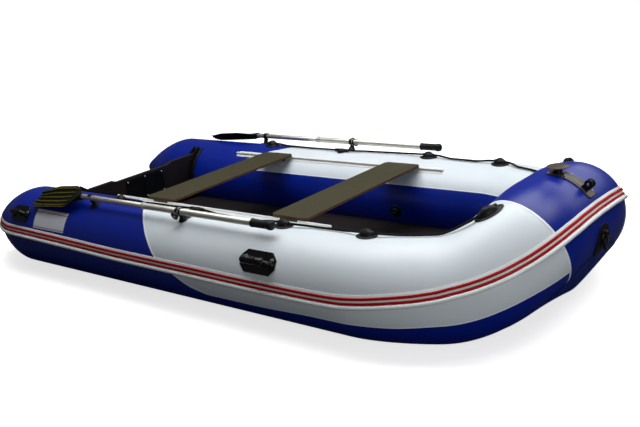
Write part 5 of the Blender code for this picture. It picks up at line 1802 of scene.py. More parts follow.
@dataclass(frozen=True)
class Rowlock:
    """A base on the tube's shoulder, and the swivel that the oar turns in.

    Attributes:
        saddle: Ring angle of the line's saddle.
        top: Height of the base's boss.
        ring: Radius of the swivel's ring, to the middle of its bar.
    """

    saddle: float = 93.0
    top: float = 0.019
    ring: float = 0.0217

    def base(self, side: Side) -> None:
        """Builds the base, its boss and the saddle over the line.

        Args:
            side: The side of the boat.
        """
        run = LINES.run_at(ROWLOCK_X)
        place = Place(run, side.value, (SHAFT_ANGLE + self.saddle) / 2 + 3.5)
        line_at = Place(run, side.value, self.saddle)
        flat = (*UNDER, (1.0, 0.0032), (0.97, 0.0042), (0.5, 0.0046), (0.1, 0.0046))
        boss = (
            (0.0, 0.001), (0.0265, 0.001), (0.0258, 0.0040), (0.0215, 0.0066), (0.0190, 0.0110),
            (0.0178, self.top - 0.002), (0.0160, self.top), (0.0, self.top),
        )
        saddle = ((0.1, 0.001), (1.05, 0.001), (1.02, 0.0080), (0.90, 0.0140), (0.62, 0.0188), (0.1, 0.0204))
        shapes = [
            LINES.pad(place, ellipse(0.080, 0.128, 80), flat),
            turned(boss, LINES.seat(run, side.value, SHAFT_ANGLE), 48),
            LINES.pad(line_at, ellipse(0.070, 0.036, 48), saddle),
        ]
        radii = (0.0105, 0.0100, 0.0090, 0.0075)
        shapes += lips(line_at, 0.0103, (0.020, 0.036, 0.047, 0.051), radii)
        made = moulded(f"rowlock_foot_{side.label}", shapes, BLACK_RUBBER, 0.0012, 2)
        fit(made, "hull", "black_rubber", f"rowlock_base_{side.label}")

    def swivel(self, side: Side) -> None:
        """Builds the pin, the ring round the shaft, its knob and the bright strap inside.

        Args:
            side: The side of the boat.
        """
        seat = LINES.seat(LINES.run_at(ROWLOCK_X), side.value, SHAFT_ANGLE)
        body = f"oar_{side.label}"
        collar = (
            (0.0, 0.0), (0.0138, 0.0), (0.0142, 0.002), (0.0132, 0.008), (0.0098, 0.0112), (0.0, 0.0112)
        )
        collar = [(radius, self.top + GAP + z) for radius, z in collar]
        outboard = math.copysign(1.0, seat[1][1] * side.value)
        middle = seat @ Matrix.Translation((0, 0, SHAFT_LIFT))
        turns = circle(64)
        spots = [middle @ Vector((0.0, self.ring * math.sin(t), self.ring * math.cos(t))) for t in turns]
        wide = [0.0044 + 0.0010 * max(0.0, math.cos(t)) ** 2 for t in turns]
        outward = (middle.to_3x3() @ Vector((0, outboard, 0))).normalized()
        knob = (
            (0.0, 0.0), (0.0068, 0.0), (0.0070, 0.0078), (0.0208, 0.0094), (0.0220, 0.0120), (0.0222, 0.0165),
            (0.0205, 0.0196), (0.0175, 0.0208), (0.0150, 0.0208), (0.0138, 0.0196), (0.0128, 0.0186),
            (0.0, 0.0184),
        )
        hub = aim(middle @ Vector((0, outboard * self.ring, 0)), Vector((1, 0, 0)), outward)
        shapes = [turned(collar, seat, 40), swept(spots, wide, 20, True), turned(knob, hub, 56)]
        made = moulded(f"rowlock_swivel_moulding_{side.label}", shapes, BLACK_PLASTIC, 0.0008, 2)
        fit(made, body, "steel", f"rowlock_swivel_{side.label}")
        arc, reach = np.linspace(-2.1, 2.1, 40), 0.0206
        spots = [middle @ Vector((0.0065, reach * math.sin(t), reach * math.cos(t))) for t in arc]
        made = from_bmesh(f"rowlock_strap_{side.label}", swept(spots, 0.0017, 12), BENT_STEEL)
        fit(made, body, "steel")
        bolt = ((0.0, 0.0182), (0.0062, 0.0182), (0.0064, 0.0196), (0.0056, 0.0208), (0.0, 0.0212))
        made = from_bmesh(f"rowlock_bolt_{side.label}", turned(bolt, hub, 6), BENT_STEEL, sharp=25.0)
        fit(made, body, "steel")


@dataclass(frozen=True)
class Oar:
    """An oar of two joined tubes, with a ribbed blade and a moulded grip.

    Attributes:
        out: Height and distance of its axis, as (y, z).
        neck: Where the blade's neck starts.
        joint: Where the fore tube starts.
        overlap: How far the aft tube goes into it.
        grip: Ends of the grip.
        lower: Radius of the aft tube.
        upper: Radius of the fore tube.
        collar: Where the rowlock's two collars stand.
        length: Length of the blade.
        width: Its width.
        tip: How far its tip lies out and down.
        face: Its slope, in degrees.
        ribs: Ribs along it.
        socket: Radius of its neck.
    """

    out: tuple[float, float] = (0.712, LINES.ground + SHAFT_UP)
    neck: float = 1.085
    joint: float = 1.60
    overlap: float = 0.06
    grip: tuple[float, float] = (2.385, 2.517)
    lower: float = 0.0145
    upper: float = 0.0165
    collar: tuple[float, float] = (1.876, 1.894)
    length: float = 0.42
    width: float = 0.165
    tip: tuple[float, float] = (0.010, 0.035)
    face: float = 62.0
    ribs: int = 5
    socket: float = 0.0185

    def along(self, x: float, side: Side) -> Matrix:
        """A placement on the shaft's axis, with local Z towards the bow."""
        spot = Vector((x - LINES.middle_x, side.value * self.out[0], self.out[1]))
        return aim(spot, Vector((0, 0, 1)), Vector((1, 0, 0)))

    def blade(self, side: Side) -> Object:
        """Builds the blade: a thin corrugated dish that grows out of a round neck.

        Args:
            side: The side of the boat.

        Returns:
            The blade.
        """
        neck = np.array((self.neck - LINES.middle_x, *self.out))
        axis = np.array((-self.length, self.tip[0], -self.tip[1]))
        axis /= np.linalg.norm(axis)
        slope = math.radians(self.face)
        across = np.cross(axis, (0.0, math.cos(slope), math.sin(slope)))
        across *= np.sign(across[2]) / np.linalg.norm(across)
        normal = np.cross(across, axis)
        normal *= np.sign(normal[2])
        count = 160
        turns = 2 * np.pi * (np.arange(count) + 0.5) / count
        w, lean = np.cos(turns), np.sin(turns)
        half = self.width / 2
        rings, highlight_masks = [], []
        for back, rise in ((0.0065, 0.0), (0.0060, 0.0012), (0.0045, 0.0012), (0.0020, 0.0)):
            size = self.socket + rise
            rings.append(neck + (back, 0, 0) + (np.outer(w, across) + np.outer(lean, normal)) * size)
            highlight_masks.append(np.zeros(count))
        off, grow = np.abs(w), half - self.socket
        shares = np.concatenate([np.linspace(0.0, 0.96, 90), 1 - 0.04 * np.array((0.7, 0.4, 0.2, 0.06, 0.0))])
        for s in shares:
            upper = self.socket + grow * ease(s / 0.30) - 0.45 * half * ease((s - 0.62) / 0.38)
            lower = self.socket + grow * ease(s / 0.26) - 0.12 * half * ease((s - 0.80) / 0.20)
            round_off = 1 - 0.05 * ease((s - 0.97) / 0.03)
            flat = ease(s / 0.20)
            rib = np.cos(self.ribs * np.pi * w) * (1 - ease((off - 0.80) / 0.2)) * ease((s - 0.08) / 0.2)
            dish = -0.010 * (1 - w * w) * ease((s - 0.1) / 0.4)
            squared = np.abs(lean) ** (1.0 - 0.72 * flat) * np.sign(lean)
            rim = 0.0012 * flat * ease((off - 0.90) / 0.06)
            thick = squared * (self.socket * (1 - flat) + (0.0024 * (1.0 - 0.45 * s) + rim) * flat)
            spread = np.where(w > 0, upper, lower) * w * round_off
            height = thick + 0.0034 * rib + dish
            rings.append(neck + axis * self.length * s + np.outer(spread, across) + np.outer(height, normal))
            # Painted highlight: where the upper face's ribs rise and along the rim, the finish paints a paler
            # colour
            rim_highlight = ease((off - 0.93) / 0.05) * ease(s / 0.3)
            highlight_masks.append(np.maximum(np.maximum(rib, 0) ** 1.5 * (lean > 0), rim_highlight))
        grid = np.array(rings) * (1, side.value, 1)
        fields = {"crest": np.array(highlight_masks)}
        return skin(f"oar_blade_moulding_{side.label}", grid, OLIVE_NYLON, fields=fields, sharp=50.0)

    def shafts(self, side: Side) -> None:
        """Builds the two tubes and the rowlock's collars.

        Args:
            side: The side of the boat.
        """
        body, wall, edge = f"oar_{side.label}", 0.0014, 0.0003
        r = self.lower
        end = self.joint + self.overlap - self.neck
        profile = [
            (r - wall, 0.0), (r - edge, 0.0), (r, 0.0004), (r, end - 0.0004), (r - edge, end),
            (r - wall, end),
        ]
        profile.append(profile[0])
        tube = turned(profile, self.along(self.neck, side), 72)
        made = from_bmesh(f"oar_tube_lower_{side.label}", tube, DRAWN_ALUMINIUM)
        fit(made, body, "aluminium", f"oar_shaft_lower_{side.label}")
        r = self.upper
        end = self.grip[1] - 0.032 - self.joint
        profile = [
            (r - wall, 0.0), (r, 0.0), (r + 0.0002, 0.003), (r + 0.0022, 0.0036), (r + 0.0022, 0.0204),
            (r, 0.0212),
        ]
        profile += [(r, end - 0.0004), (r - edge, end), (r - wall, end), (r - wall, 0.0)]
        tube = turned(profile, self.along(self.joint, side), 72)
        made = from_bmesh(f"oar_tube_upper_{side.label}", tube, DRAWN_ALUMINIUM)
        fit(made, body, "aluminium", f"oar_shaft_upper_{side.label}")
        half = [(r + 0.0001, -0.0038), (r + 0.0034, -0.0038), (r + 0.0040, -0.0030)]
        profile = [*half, *((radius, -z) for radius, z in reversed(half)), half[0]]
        for number, x in enumerate((self.collar[0] - 0.0040, self.collar[1] + 0.0040), 1):
            ring = turned(profile, self.along(x, side), 64)
            fit(from_bmesh(f"oar_collar_{side.label}_{number}", ring, BLACK_PLASTIC), body, "black_plastic")

    def buttons(self, side: Side) -> None:
        """Builds the spring buttons that lock the tubes to each other and to the blade.

        Args:
            side: The side of the boat.
        """
        places = []
        for x, turn, radius in (
            (self.joint + 0.012, -0.35, self.upper + 0.0020),
            (self.joint + 0.036, 1.2, self.upper),
            (self.neck + 0.062, 0.35, self.lower),
        ):
            out = Vector((0.0, -side.value * math.sin(turn), math.cos(turn)))
            places.append(aim(self.along(x, side).translation + out * radius, Vector((1, 0, 0)), out))
        profile = ((0.0, 0.0026), (0.0022, 0.0024), (0.0036, 0.0014), (0.0040, -0.0010), (0.0, -0.0010))
        button = from_bmesh("button", turned(profile, Matrix(), 24), BLACK_PLASTIC)
        made = repeated(f"oar_buttons_{side.label}", button, places, BLACK_PLASTIC)
        fit(made, f"oar_{side.label}", "black_plastic")

    def handle(self, side: Side) -> None:
        """Builds the grip, with its rings and its round end.

        Args:
            side: The side of the boat.
        """
        length = self.grip[1] - self.grip[0]
        r = 0.0190
        profile = [
            (self.upper + GAP, 0.0), (r + 0.0022, 0.0), (r + 0.0026, 0.002), (r + 0.0020, 0.006), (r, 0.009)
        ]
        for k in range(26):
            z = 0.012 + 0.0030 * k
            profile += [(r, z), (r + 0.0007, z + 0.0008), (r + 0.0007, z + 0.0018), (r, z + 0.0026)]
        knob = (
            (0.0, 0.034), (0.0030, 0.030), (0.0036, 0.022), (0.0032, 0.012), (0.0010, 0.0060),
            (-0.0050, 0.0022), (-0.0120, 0.0004),
        )
        profile += [(r + rise, length - back) for rise, back in knob] + [(0.0, length)]
        grip = turned(profile, self.along(self.grip[0], side), 64)
        made = from_bmesh(f"oar_grip_moulding_{side.label}", grip, BLACK_RUBBER)
        fit(made, f"oar_{side.label}", "black_rubber", f"oar_grip_{side.label}")

    def build(self, side: Side) -> None:
        """Builds one oar.

        Args:
            side: The side of the boat.
        """
        fit(self.blade(side), f"oar_{side.label}", "blade_plastic", f"oar_blade_{side.label}")
        self.shafts(side)
        self.buttons(side)
        self.handle(side)


@dataclass(frozen=True)
class OarClip:
    """A clip on the tube whose jaw holds the oar's shaft, open outboard.

    Attributes:
        x: Its place.
        bore: Inner radius of the jaw.
        width: Length of the jaw along the shaft.
    """

    x: float = 1.165
    bore: float = 0.0154
    width: float = 0.024

    def build(self, side: Side) -> None:
        """Builds one clip.

        Args:
            side: The side of the boat.
        """
        run = LINES.run_at(self.x)
        seat = LINES.seat(run, side.value, SHAFT_ANGLE)
        outboard = math.copysign(1.0, seat[1][1] * side.value)
        outer = self.bore + 0.0042
        turns = np.linspace(0.0, math.pi, 24)
        hook = [(0.0105, outer + 0.0016), (0.009, outer)]
        hook += [(-outer * math.sin(t), outer * math.cos(t)) for t in turns]
        hook += [(0.009, -outer), (0.0105, -outer - 0.0016), (0.0115, -outer + 0.0008), (0.0095, -self.bore)]
        hook += [(-self.bore * math.sin(t), -self.bore * math.cos(t)) for t in turns]
        hook += [(0.0095, self.bore), (0.0115, outer - 0.0008)]
        to_seat = Matrix(
            ((0, 0, 1, -self.width / 2), (outboard, 0, 0, 0), (0, 1, 0, SHAFT_LIFT), (0, 0, 0, 1))
        )
        foot = SHAFT_LIFT - outer + 0.0020
        levels = (*UNDER, (1.0, 0.0028), (0.96, 0.0040), (0.5, 0.0044), (0.1, 0.0044))
        shapes = [
            LINES.pad(Place(run, side.value, SHAFT_ANGLE), ellipse(0.062, 0.062, 56), levels),
            block((self.width, 0.015, foot - 0.002), seat @ Matrix.Translation((0, 0, (foot + 0.002) / 2))),
            block((self.width * 0.5, 0.030, 0.006), seat @ Matrix.Translation((0, 0, 0.006))),
            prism(hook, self.width, seat @ to_seat),
        ]
        made = moulded(f"oar_clip_moulding_{side.label}", shapes, BLACK_RUBBER, 0.0008, 2)
        fit(made, "hull", "black_rubber", f"oar_clip_{side.label}")


@dataclass(frozen=True)
class BowGear:
    """The bow's strip with its bollard and anchor line roller, and the tow ring below.

    Attributes:
        bollard: Ring angle of the bollard.
        roller: Ring angle of the roller.
        roller_lift: Height of its axle.
        roller_size: Its radius and half its width.
        tow: Ring angles of the tow patch's middle and of its ring's bar.
        bar_lift: Height of that bar.
        wire: Radius of the ring's rod.
    """

    bollard: float = 81.0
    roller: float = 47.5
    roller_lift: float = 0.031
    roller_size: tuple[float, float] = (0.020, 0.015)
    tow: tuple[float, float] = (-15.0, -6.0)
    bar_lift: float = 0.0120
    wire: float = 0.0042

    def build(self) -> None:
        """Builds the strip, the bollard, the fork, the roller and the tow ring with its patch."""
        self.strip()
        self.fork()
        self.tow_ring()

    def strip(self) -> None:
        """Builds the strip along the top of the bow, its screws and the bollard."""
        middle = (self.bollard + self.roller) / 2
        reach = math.radians(self.bollard - self.roller) * LINES.radius + 0.095
        low = GAP + 0.0008
        levels = (
            (0.1, low), (0.5, low), (1.0, low), (1.0, 0.0036), (0.965, 0.0050), (0.5, 0.0056), (0.1, 0.0056)
        )
        shape = dense(rounded(0.074, reach, 0.020, 6))
        ribs = [LINES.pad(Place(0.0, 1.0, middle), shape, levels)]
        turns = middle + np.degrees(np.linspace(-0.055, 0.050, 30) / LINES.radius)
        for offset in (-0.024, 0.024):
            ribs.append(swept(LINES.spots(offset, 1.0, turns, 0.0052), 0.0022, 10))
        made = moulded("bow_strip", ribs, BOW_PLASTIC, 0.0012, 2)
        fit(made, "hull", "black_plastic", "bow_fitting")
        seat = LINES.seat(0.0, 1.0, self.bollard)
        upright = Matrix.Translation(seat.translation)
        flange = ((0.0, 0.0092), (0.0235, 0.0092), (0.0262, 0.0076), (0.0268, 0.0030), (0.0, 0.0030))
        post = (
            (0.0, 0.0060), (0.0175, 0.0060), (0.0176, 0.0200), (0.0186, 0.0240), (0.0220, 0.0270),
            (0.0300, 0.0288), (0.0400, 0.0294), (0.0, 0.0296),
        )
        shapes = [turned(flange, seat, 56), turned(post, upright, 56)]
        made = moulded("bow_bollard_post", shapes, BLACK_PLASTIC, 0.0011, 2)
        fit(made, "hull", "black_plastic")
        disc = (
            (0.0, 0.0290), (0.0300, 0.0288), (0.0440, 0.0294), (0.0484, 0.0308), (0.0495, 0.0322),
            (0.0486, 0.0336), (0.0440, 0.0350), (0.0415, 0.0344), (0.0395, 0.0352), (0.0200, 0.0366),
            (0.0, 0.0372),
        )
        fit(from_bmesh("bow_bollard_disc", turned(disc, upright, 96), BOW_PLASTIC), "hull", "black_plastic")
        places = []
        for across, up in ((0.026, 0.100), (0.026, -0.092), (0.029, 0.020)):
            turn = middle + math.degrees(up / LINES.radius)
            places += [LINES.seat(way * across, 1.0, turn, 0.0062) for way in (-1.0, 1.0)]
        fit(repeated("bow_strip_screws", screw(0.0045), places, BENT_STEEL), "hull", "steel")

    def fork(self) -> None:
        """Builds the fork's cheeks, the axle and the roller."""
        half = self.roller_size[1]
        seat = LINES.seat(0.0, 1.0, self.roller)
        port, up = Vector((0, 1, 0)), seat.to_3x3() @ Vector((0, 0, 1))
        thick, play, eye = 0.0040, 0.0008, 0.0118
        turns = np.linspace(0.1, math.pi - 0.1, 20)
        arc = [(eye * math.cos(t), self.roller_lift + eye * math.sin(t)) for t in turns]
        cheek = [(0.0185, 0.0045), *arc, (-0.0185, 0.0045)]
        shapes = []
        for start in (-half - play - thick, half + play):
            section = Matrix((up.cross(port), up, port)).transposed().to_4x4()
            section.translation = seat.translation + port * start
            shapes.append(prism(cheek, thick, section))
        made = moulded("bow_roller_fork", shapes, BLACK_PLASTIC, 0.0007, 2)
        fit(made, "hull", "black_plastic")
        axle = aim(seat @ Vector((0, 0, self.roller_lift)), Vector((1, 0, 0)), port)
        reach = half + 0.0075
        end = ((0.0, 0.0), (0.0052, 0.0), (0.0060, 0.001), (0.0060, 0.0022), (0.0040, 0.0024))
        profile = [(radius, inset - reach) for radius, inset in end]
        profile += [(radius, reach - inset) for radius, inset in reversed(end)]
        fit(from_bmesh("bow_roller_axle", turned(profile, axle, 40), BENT_STEEL), "hull", "steel")
        r = self.roller_size[0]
        rim = [
            (0.0044, half), (r - 0.0040, half), (r - 0.0012, half - 0.0004), (r, half - 0.0016),
            (r - 0.0006, half - 0.0034),
        ]
        waist = [(0.0130 + 0.0060 * (z / half) ** 2, z) for z in np.linspace(half * 0.72, -half * 0.72, 13)]
        profile = [*rim, *waist, *((radius, -z) for radius, z in reversed(rim)), rim[0]]
        made = from_bmesh("bow_line_roller", turned(profile, axle, 64), BLACK_RUBBER)
        fit(made, "bow_roller", "black_rubber", "bow_roller")

    def tow_ring(self) -> None:
        """Builds the patch, its keeper and the three sided ring."""
        levels = (
            *UNDER, (1.0, 0.0020), (0.985, 0.0034), (0.95, 0.0040), (0.90, 0.0036), (0.5, 0.0038),
            (0.1, 0.0038),
        )
        keeper = ((0.1, 0.002), (1.0, 0.002), (0.96, 0.0052), (0.80, 0.0066), (0.1, 0.0070))
        seat = LINES.seat(0.0, 1.0, self.tow[1])
        shapes = [
            LINES.pad(Place(0.0, 1.0, self.tow[0]), ellipse(0.132, 0.160, 88), levels),
            LINES.pad(Place(0.0, 1.0, self.tow[1] - 6.0), ellipse(0.050, 0.080, 48), keeper),
            softened(block((0.024, 0.034, 0.018), seat @ Matrix.Translation((0, 0, 0.0112))), 0.004),
        ]
        made = moulded("tow_patch_moulding", shapes, BLACK_RUBBER, 0.0011, 2)
        fit(made, "hull", "black_rubber", "tow_patch")
        bar = LINES.spot(0.0, 1.0, self.tow[1], self.bar_lift)
        corners = (Vector((-0.040, 0.0)), Vector((0.040, 0.0)), Vector((0.0, -0.094)))
        spots = []
        for k, radius in enumerate((0.010, 0.010, 0.015)):
            here = corners[k]
            before, after = ((corners[j % 3] - here).normalized() for j in (k - 1, k + 1))
            half = before.angle(after) / 2
            middle = here + (before + after).normalized() * (radius / math.sin(half))
            ends = [here + way * (radius / math.tan(half)) - middle for way in (before, after)]
            first, last = (math.atan2(end.y, end.x) for end in ends)
            turn = (last - first + math.pi) % (2 * math.pi) - math.pi
            for t in (first + turn * j / 10 for j in range(11)):
                spots.append((middle.x + radius * math.cos(t), middle.y + radius * math.sin(t)))
        line = [Vector((bar.x, y, bar.z + z)) for y, z in spots]
        made = from_bmesh("tow_ring_rod", swept(line, self.wire, 28, True), DARK_STEEL)
        fit(made, "tow_ring", "steel", "tow_ring")


@dataclass(frozen=True)
class Valve:
    """An inflation valve: the flange in the fabric and its screw cap.

    Attributes:
        name: End of its pieces' names.
        run: Run of its middle.
        side: The side's sign.
        angle: Ring angle.
    """

    name: str
    run: float
    side: float
    angle: float

    def build(self) -> None:
        """Builds the flange with its seat, and the cap with its bar and knurl."""
        seat = LINES.seat(self.run, self.side, self.angle)
        flange = (
            (0.0168, -0.006), (0.0168, 0.0086), (0.0172, 0.0090), (0.0215, 0.0090), (0.0225, 0.0080),
            (0.0235, 0.0050), (0.0300, 0.0040), (0.0352, 0.0030), (0.0366, 0.0012), (0.0368, -0.006),
            (0.0168, -0.006),
        )
        made = from_bmesh(f"valve_flange_{self.name}", turned(flange, seat, 72), BLACK_PLASTIC)
        fit(made, "hull", "pvc_blue")
        top = 0.0093
        cap = (
            (0.0, -0.010), (0.0150, -0.010), (0.0150, 0.0), (0.0203, 0.0), (0.0206, 0.0030), (0.0196, 0.0060),
            (0.0160, 0.0080), (0.0, 0.0084),
        )
        cap = [(radius, top + z) for radius, z in cap]
        grip = block((0.030, 0.006, 0.014), seat @ Matrix.Translation((0, 0, top + 0.0100)))
        shapes = [turned(cap, seat, 64), softened(grip, 0.0018)]
        shapes += knurl(seat, 18, 0.0200, (top + 0.0008, top + 0.0046), (0.0012, 0.0011))
        made = moulded(f"valve_cap_moulding_{self.name}", shapes, BLACK_PLASTIC, 0.0006, 1)
        fit(made, f"valve_cap_{self.name}", "black_plastic", f"valve_cap_{self.name}")


@dataclass(frozen=True)
class SternTrim:
    """What finishes the stern: caps on the cones, a blank patch and the drain plug.

    Attributes:
        cap: Length of a cone's cap.
        patch_x: Ends of the patch.
        patch_arc: Its lower and upper ring angles.
        drain: The drain's place on the board's aft face, as (x, y, z).
    """

    cap: float = 0.048
    patch_x: tuple[float, float] = (0.712, 1.006)
    patch_arc: tuple[float, float] = (18.5, 47.5)
    drain: tuple[float, float, float] = (0.703, 0.28, 0.098)

    def build(self) -> None:
        """Builds both caps, the patch and the plug."""
        self.caps()
        self.patch()
        self.plug()

    def caps(self) -> None:
        """Builds the caps of the cones."""
        for side in Side:
            spot = Vector(
                (LINES.stern_x + self.cap - LINES.middle_x, side.value * LINES.half_spacing, LINES.ground)
            )
            tip = aim(spot, Vector((0, 0, 1)), Vector((-1, 0, 0)))
            backs = np.linspace(self.cap, 0.001, 8)
            widths = LINES.width(LINES.stern_run - backs) + 0.0022
            sleeve = list(zip(widths.tolist(), (self.cap - backs).tolist()))
            rim = [(sleeve[0][0] - 0.0040, -0.0004), (sleeve[0][0] - 0.0004, -0.0004)]
            nose = [
                (LINES.tip - 0.002, self.cap + 0.0018), (LINES.tip * 0.6, self.cap + 0.0034),
                (0.0, self.cap + 0.0038),
            ]
            profile = [*rim, *sleeve, *nose]
            made = from_bmesh(f"cone_cap_{side.label}", turned(profile, tip, 72), BLACK_RUBBER)
            fit(made, "hull", "pvc_blue")

    def patch(self) -> None:
        """Builds the blank patch on the starboard tube, with its two red stripes."""
        count = 61
        angles = np.linspace(*self.patch_arc, count)
        places = np.linspace(*self.patch_x, count)
        edge = np.full(count, True)
        edge[1:-1] = False
        flat = np.where(edge[:, None] | edge[None], 0.0001, 0.0009)
        grid = LINES.spots(LINES.run_at(places)[:, None], -1.0, angles[None], flat)
        shares = np.arange(count - 1) / (count - 1)
        pick = [int(0.80 < share < 0.85 or 0.06 < share < 0.10) for share in shares]
        made = skin(
            "stern_patch_blank", grid, PATCH_WHITE, PATCH_RED, closed=False, ends=False, pick=pick,
            sharp=60.0,
        )
        fit(made, "hull", "strake_white")

    def plug(self) -> None:
        """Builds the drain's plug, with its bar and knurl."""
        x, y, z = self.drain
        seat = aim(Vector((x - LINES.middle_x, y, z)), Vector((0, 0, 1)), Vector((-1, 0, 0)))
        profile = (
            (0.0, -0.026), (0.0110, -0.026), (0.0137, -0.024), (0.0137, 0.0003), (0.0180, 0.0003),
            (0.0182, 0.0060), (0.0176, 0.0086), (0.0160, 0.0100), (0.0, 0.0102),
        )
        grip = block((0.006, 0.026, 0.015), seat @ Matrix.Translation((0, 0, 0.0137)))
        shapes = [turned(profile, seat, 56), softened(grip, 0.0018)]
        shapes += knurl(seat, 14, 0.0176, (0.0014, 0.0075), (0.0012, 0.0010))
        made = moulded("drain_plug_moulding", shapes, BLACK_PLASTIC, 0.0007, 1)
        fit(made, "drain_plug", "black_plastic", "drain_plug")


# What shows the frame's own shapes


def dress_frame(rows: Sequence[tuple[str, Finish, float]]) -> None:
    """Gives the shown nodes their finish and rounds their edges.

    Args:
        rows: Start of the nodes' names, finish and width of the rounding.
    """
    for name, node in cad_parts.items():
        if node.hide_render:
            continue
        found = [row for row in rows if name.startswith(row[0])]
        if not found:
            log.warning("no finish for %s", name)
            continue
        _, finish, width = found[0]
        node.data.materials.clear()
        node.data.materials.append(finish.material())
        node.data.polygons.foreach_set("material_index", [0] * len(node.data.polygons))
        if width:
            mod = node.modifiers.new("Edges", "BEVEL")
            mod.width = width
            mod.segments = 2
            mod.limit_method = "ANGLE"
            mod.angle_limit = math.radians(40.0)


# Studio and camera


@dataclass(frozen=True)
class Lamp:
    """A soft box.

    Attributes:
        name: Its name.
        where: Its place.
        aim: The point that it shines at.
        size: Its width and depth.
        power: Its power in watts.
        spread: How wide its light opens, in degrees.
    """

    name: str
    where: tuple[float, float, float]
    aim: tuple[float, float, float]
    size: tuple[float, float]
    power: float
    spread: float = 180.0

    def build(self) -> None:
        """Adds the lamp."""
        data = bpy.data.lights.new(self.name, "AREA")
        data.shape = "RECTANGLE"
        data.size, data.size_y = self.size
        data.energy = self.power
        data.spread = math.radians(self.spread)
        lamp = linked(self.name, data)
        lamp.location = self.where
        lamp.rotation_euler = (Vector(self.aim) - Vector(self.where)).to_track_quat("-Z", "Y").to_euler()


LAMPS = (
    Lamp("overhead_softbox", (0.0, 0.15, 3.6), (0.1, 0.0, 0.2), (4.4, 2.6), 156.0),
    Lamp("front_softbox", (3.6, -4.2, 2.2), (0.3, 0.0, 0.3), (2.2, 1.2), 12.5),
    Lamp("bow_softbox", (4.2, -2.2, 0.8), (1.5, -0.5, 0.25), (1.2, 0.9), 24.0),
    Lamp("back_softbox", (2.2, 4.2, 2.9), (1.0, 0.0, 0.4), (4.4, 2.2), 52.0),
    Lamp("bow_overhead_softbox", (2.6, 0.6, 2.6), (1.74, -0.16, 0.55), (1.7, 1.3), 3.4, 56.0),
)


def build_studio() -> None:
    """Adds the white floor, which turns to bright paper far off, the lamps and the world's light."""
    world = bpy.data.worlds.new("studio")
    bpy.context.scene.world = world
    world.use_nodes = True
    tree = world.node_tree
    tree.nodes.clear()
    rays = add(tree, "ShaderNodeLightPath").outputs
    seen = calc(tree, "MAXIMUM", rays["Is Camera Ray"], rays["Is Transmission Ray"])
    strength = calc(tree, "MULTIPLY_ADD", seen, 0.95, 0.09)
    light = add(tree, "ShaderNodeBackground", {"Color": linear("#ffffff"), "Strength": strength})
    out = add(tree, "ShaderNodeOutputWorld")
    tree.links.new(light.outputs[0], out.inputs[0])
    ground = bmesh.new()
    bmesh.ops.create_grid(ground, x_segments=1, y_segments=1, size=40.0)
    floor = from_bmesh("studio_floor", ground, Finish("paper_floor_white", "#ffffff", 0.9))
    tree = floor.data.materials[0].node_tree
    shader = tree.nodes["Principled BSDF"]
    rays = add(tree, "ShaderNodeLightPath").outputs
    shade = mixed(tree, rays["Is Camera Ray"], linear("#37373b"), linear("#ffffff"))
    tree.links.new(shade, shader.inputs["Base Color"])
    spot = add(tree, "ShaderNodeTexCoord").outputs["Object"]
    far = add(tree, "ShaderNodeVectorMath", {0: spot}, operation="LENGTH").outputs["Value"]
    glow = calc(tree, "MULTIPLY", ranged(tree, far, 1.6, 5.0, 0.68, 1.1), rays["Is Camera Ray"])
    paper = add(tree, "ShaderNodeEmission", {"Color": linear("#ffffff"), "Strength": glow})
    both = add(tree, "ShaderNodeAddShader")
    tree.links.new(shader.outputs[0], both.inputs[0])
    tree.links.new(paper.outputs[0], both.inputs[1])
    tree.links.new(both.outputs[0], tree.nodes["Material Output"].inputs[0])
    for lamp in LAMPS:
        lamp.build()


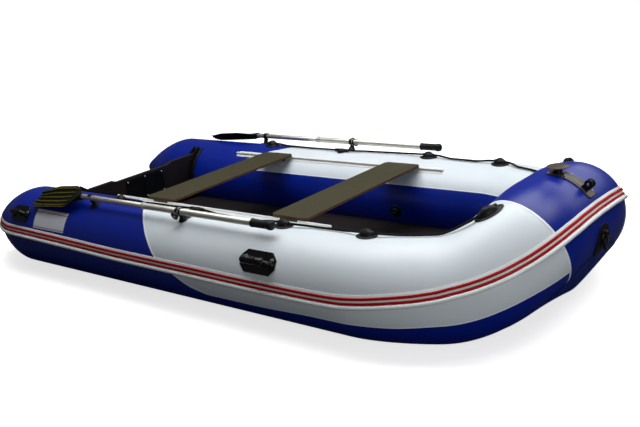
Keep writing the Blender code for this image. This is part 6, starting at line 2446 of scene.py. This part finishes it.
@dataclass(frozen=True)
class Viewpoint:
    """The photograph's camera.

    Attributes:
        where: Its place.
        yaw: Heading in degrees.
        pitch: Up from level.
        roll: Turn about the line of sight.
        lens: Focal length in mm.
        shift: Shift of the picture, in picture widths.
    """

    where: tuple[float, float, float] = (3.247, -3.4035, 1.68875)
    yaw: float = 130.8141
    pitch: float = -15.7354
    roll: float = -6.7352
    lens: float = 49.55
    shift: tuple[float, float] = (-3.89 / 640, -24.03 / 640)

    def build(self) -> None:
        """Adds the camera and makes it the scene's."""
        yaw, pitch, roll = (math.radians(a) for a in (self.yaw, self.pitch, self.roll))
        forward = Vector((math.cos(pitch) * math.cos(yaw), math.cos(pitch) * math.sin(yaw), math.sin(pitch)))
        right = Vector((math.sin(yaw), -math.cos(yaw), 0.0))
        up = right.cross(forward)
        across = right * math.cos(roll) + up * math.sin(roll)
        upward = up * math.cos(roll) - right * math.sin(roll)
        data = bpy.data.cameras.new("photo_camera")
        data.sensor_width = 36.0
        data.lens = self.lens
        data.shift_x, data.shift_y = self.shift
        data.clip_end = 60.0
        camera = linked("photo_camera", data)
        placed = Matrix((across, upward, -forward)).transposed().to_4x4()
        placed.translation = self.where
        camera.matrix_world = placed
        bpy.context.scene.camera = camera


FRAME_FINISHES: tuple[tuple[str, Finish, float], ...] = (
    ("transom_holder", BLACK_RUBBER, 0.0008),
    ("transom", TRANSOM_PLY, 0.003),
    ("motor_plate", BLACK_PLASTIC, 0.0008),
    ("floorboard", FLOOR_PLY, 0.0012),
    ("seat_aft_slider", BLACK_PLASTIC, 0.001),
    ("seat_fore_slider", BLACK_PLASTIC, 0.001),
    ("seat", SEAT_PLY, 0.0018),
)


def main() -> None:
    """Builds the boat's looks, the studio and the camera."""
    logging.basicConfig(level=logging.INFO)
    Tubes().build()
    Strake().build()
    Bottom().build()
    MotorBoard().build()
    GrabLine().build()
    BowGear().build()
    SternTrim().build()
    valve_run = float(LINES.run_at(2.40))
    Valve("bow", 0.0, 1.0, 182.0).build()
    for side in Side:
        SeatRail().build(side)
        CarryHandle("carry_handle", 2.482, 30.5, (0.216, 0.107), 0.0425, 0.0195).build(side)
        CarryHandle("stern_handle", 0.567, 35.5, (0.170, 0.098), 0.0370, 0.0160).build(side)
        Rowlock().base(side)
        Rowlock().swivel(side)
        Oar().build(side)
        OarClip().build(side)
        Valve(side.label, valve_run, side.value, 187.0).build()
    dress_frame(FRAME_FINISHES)
    build_studio()
    Viewpoint().build()
    bpy.context.scene.view_settings.view_transform = "Standard"


if __name__ == "__main__":
    main()
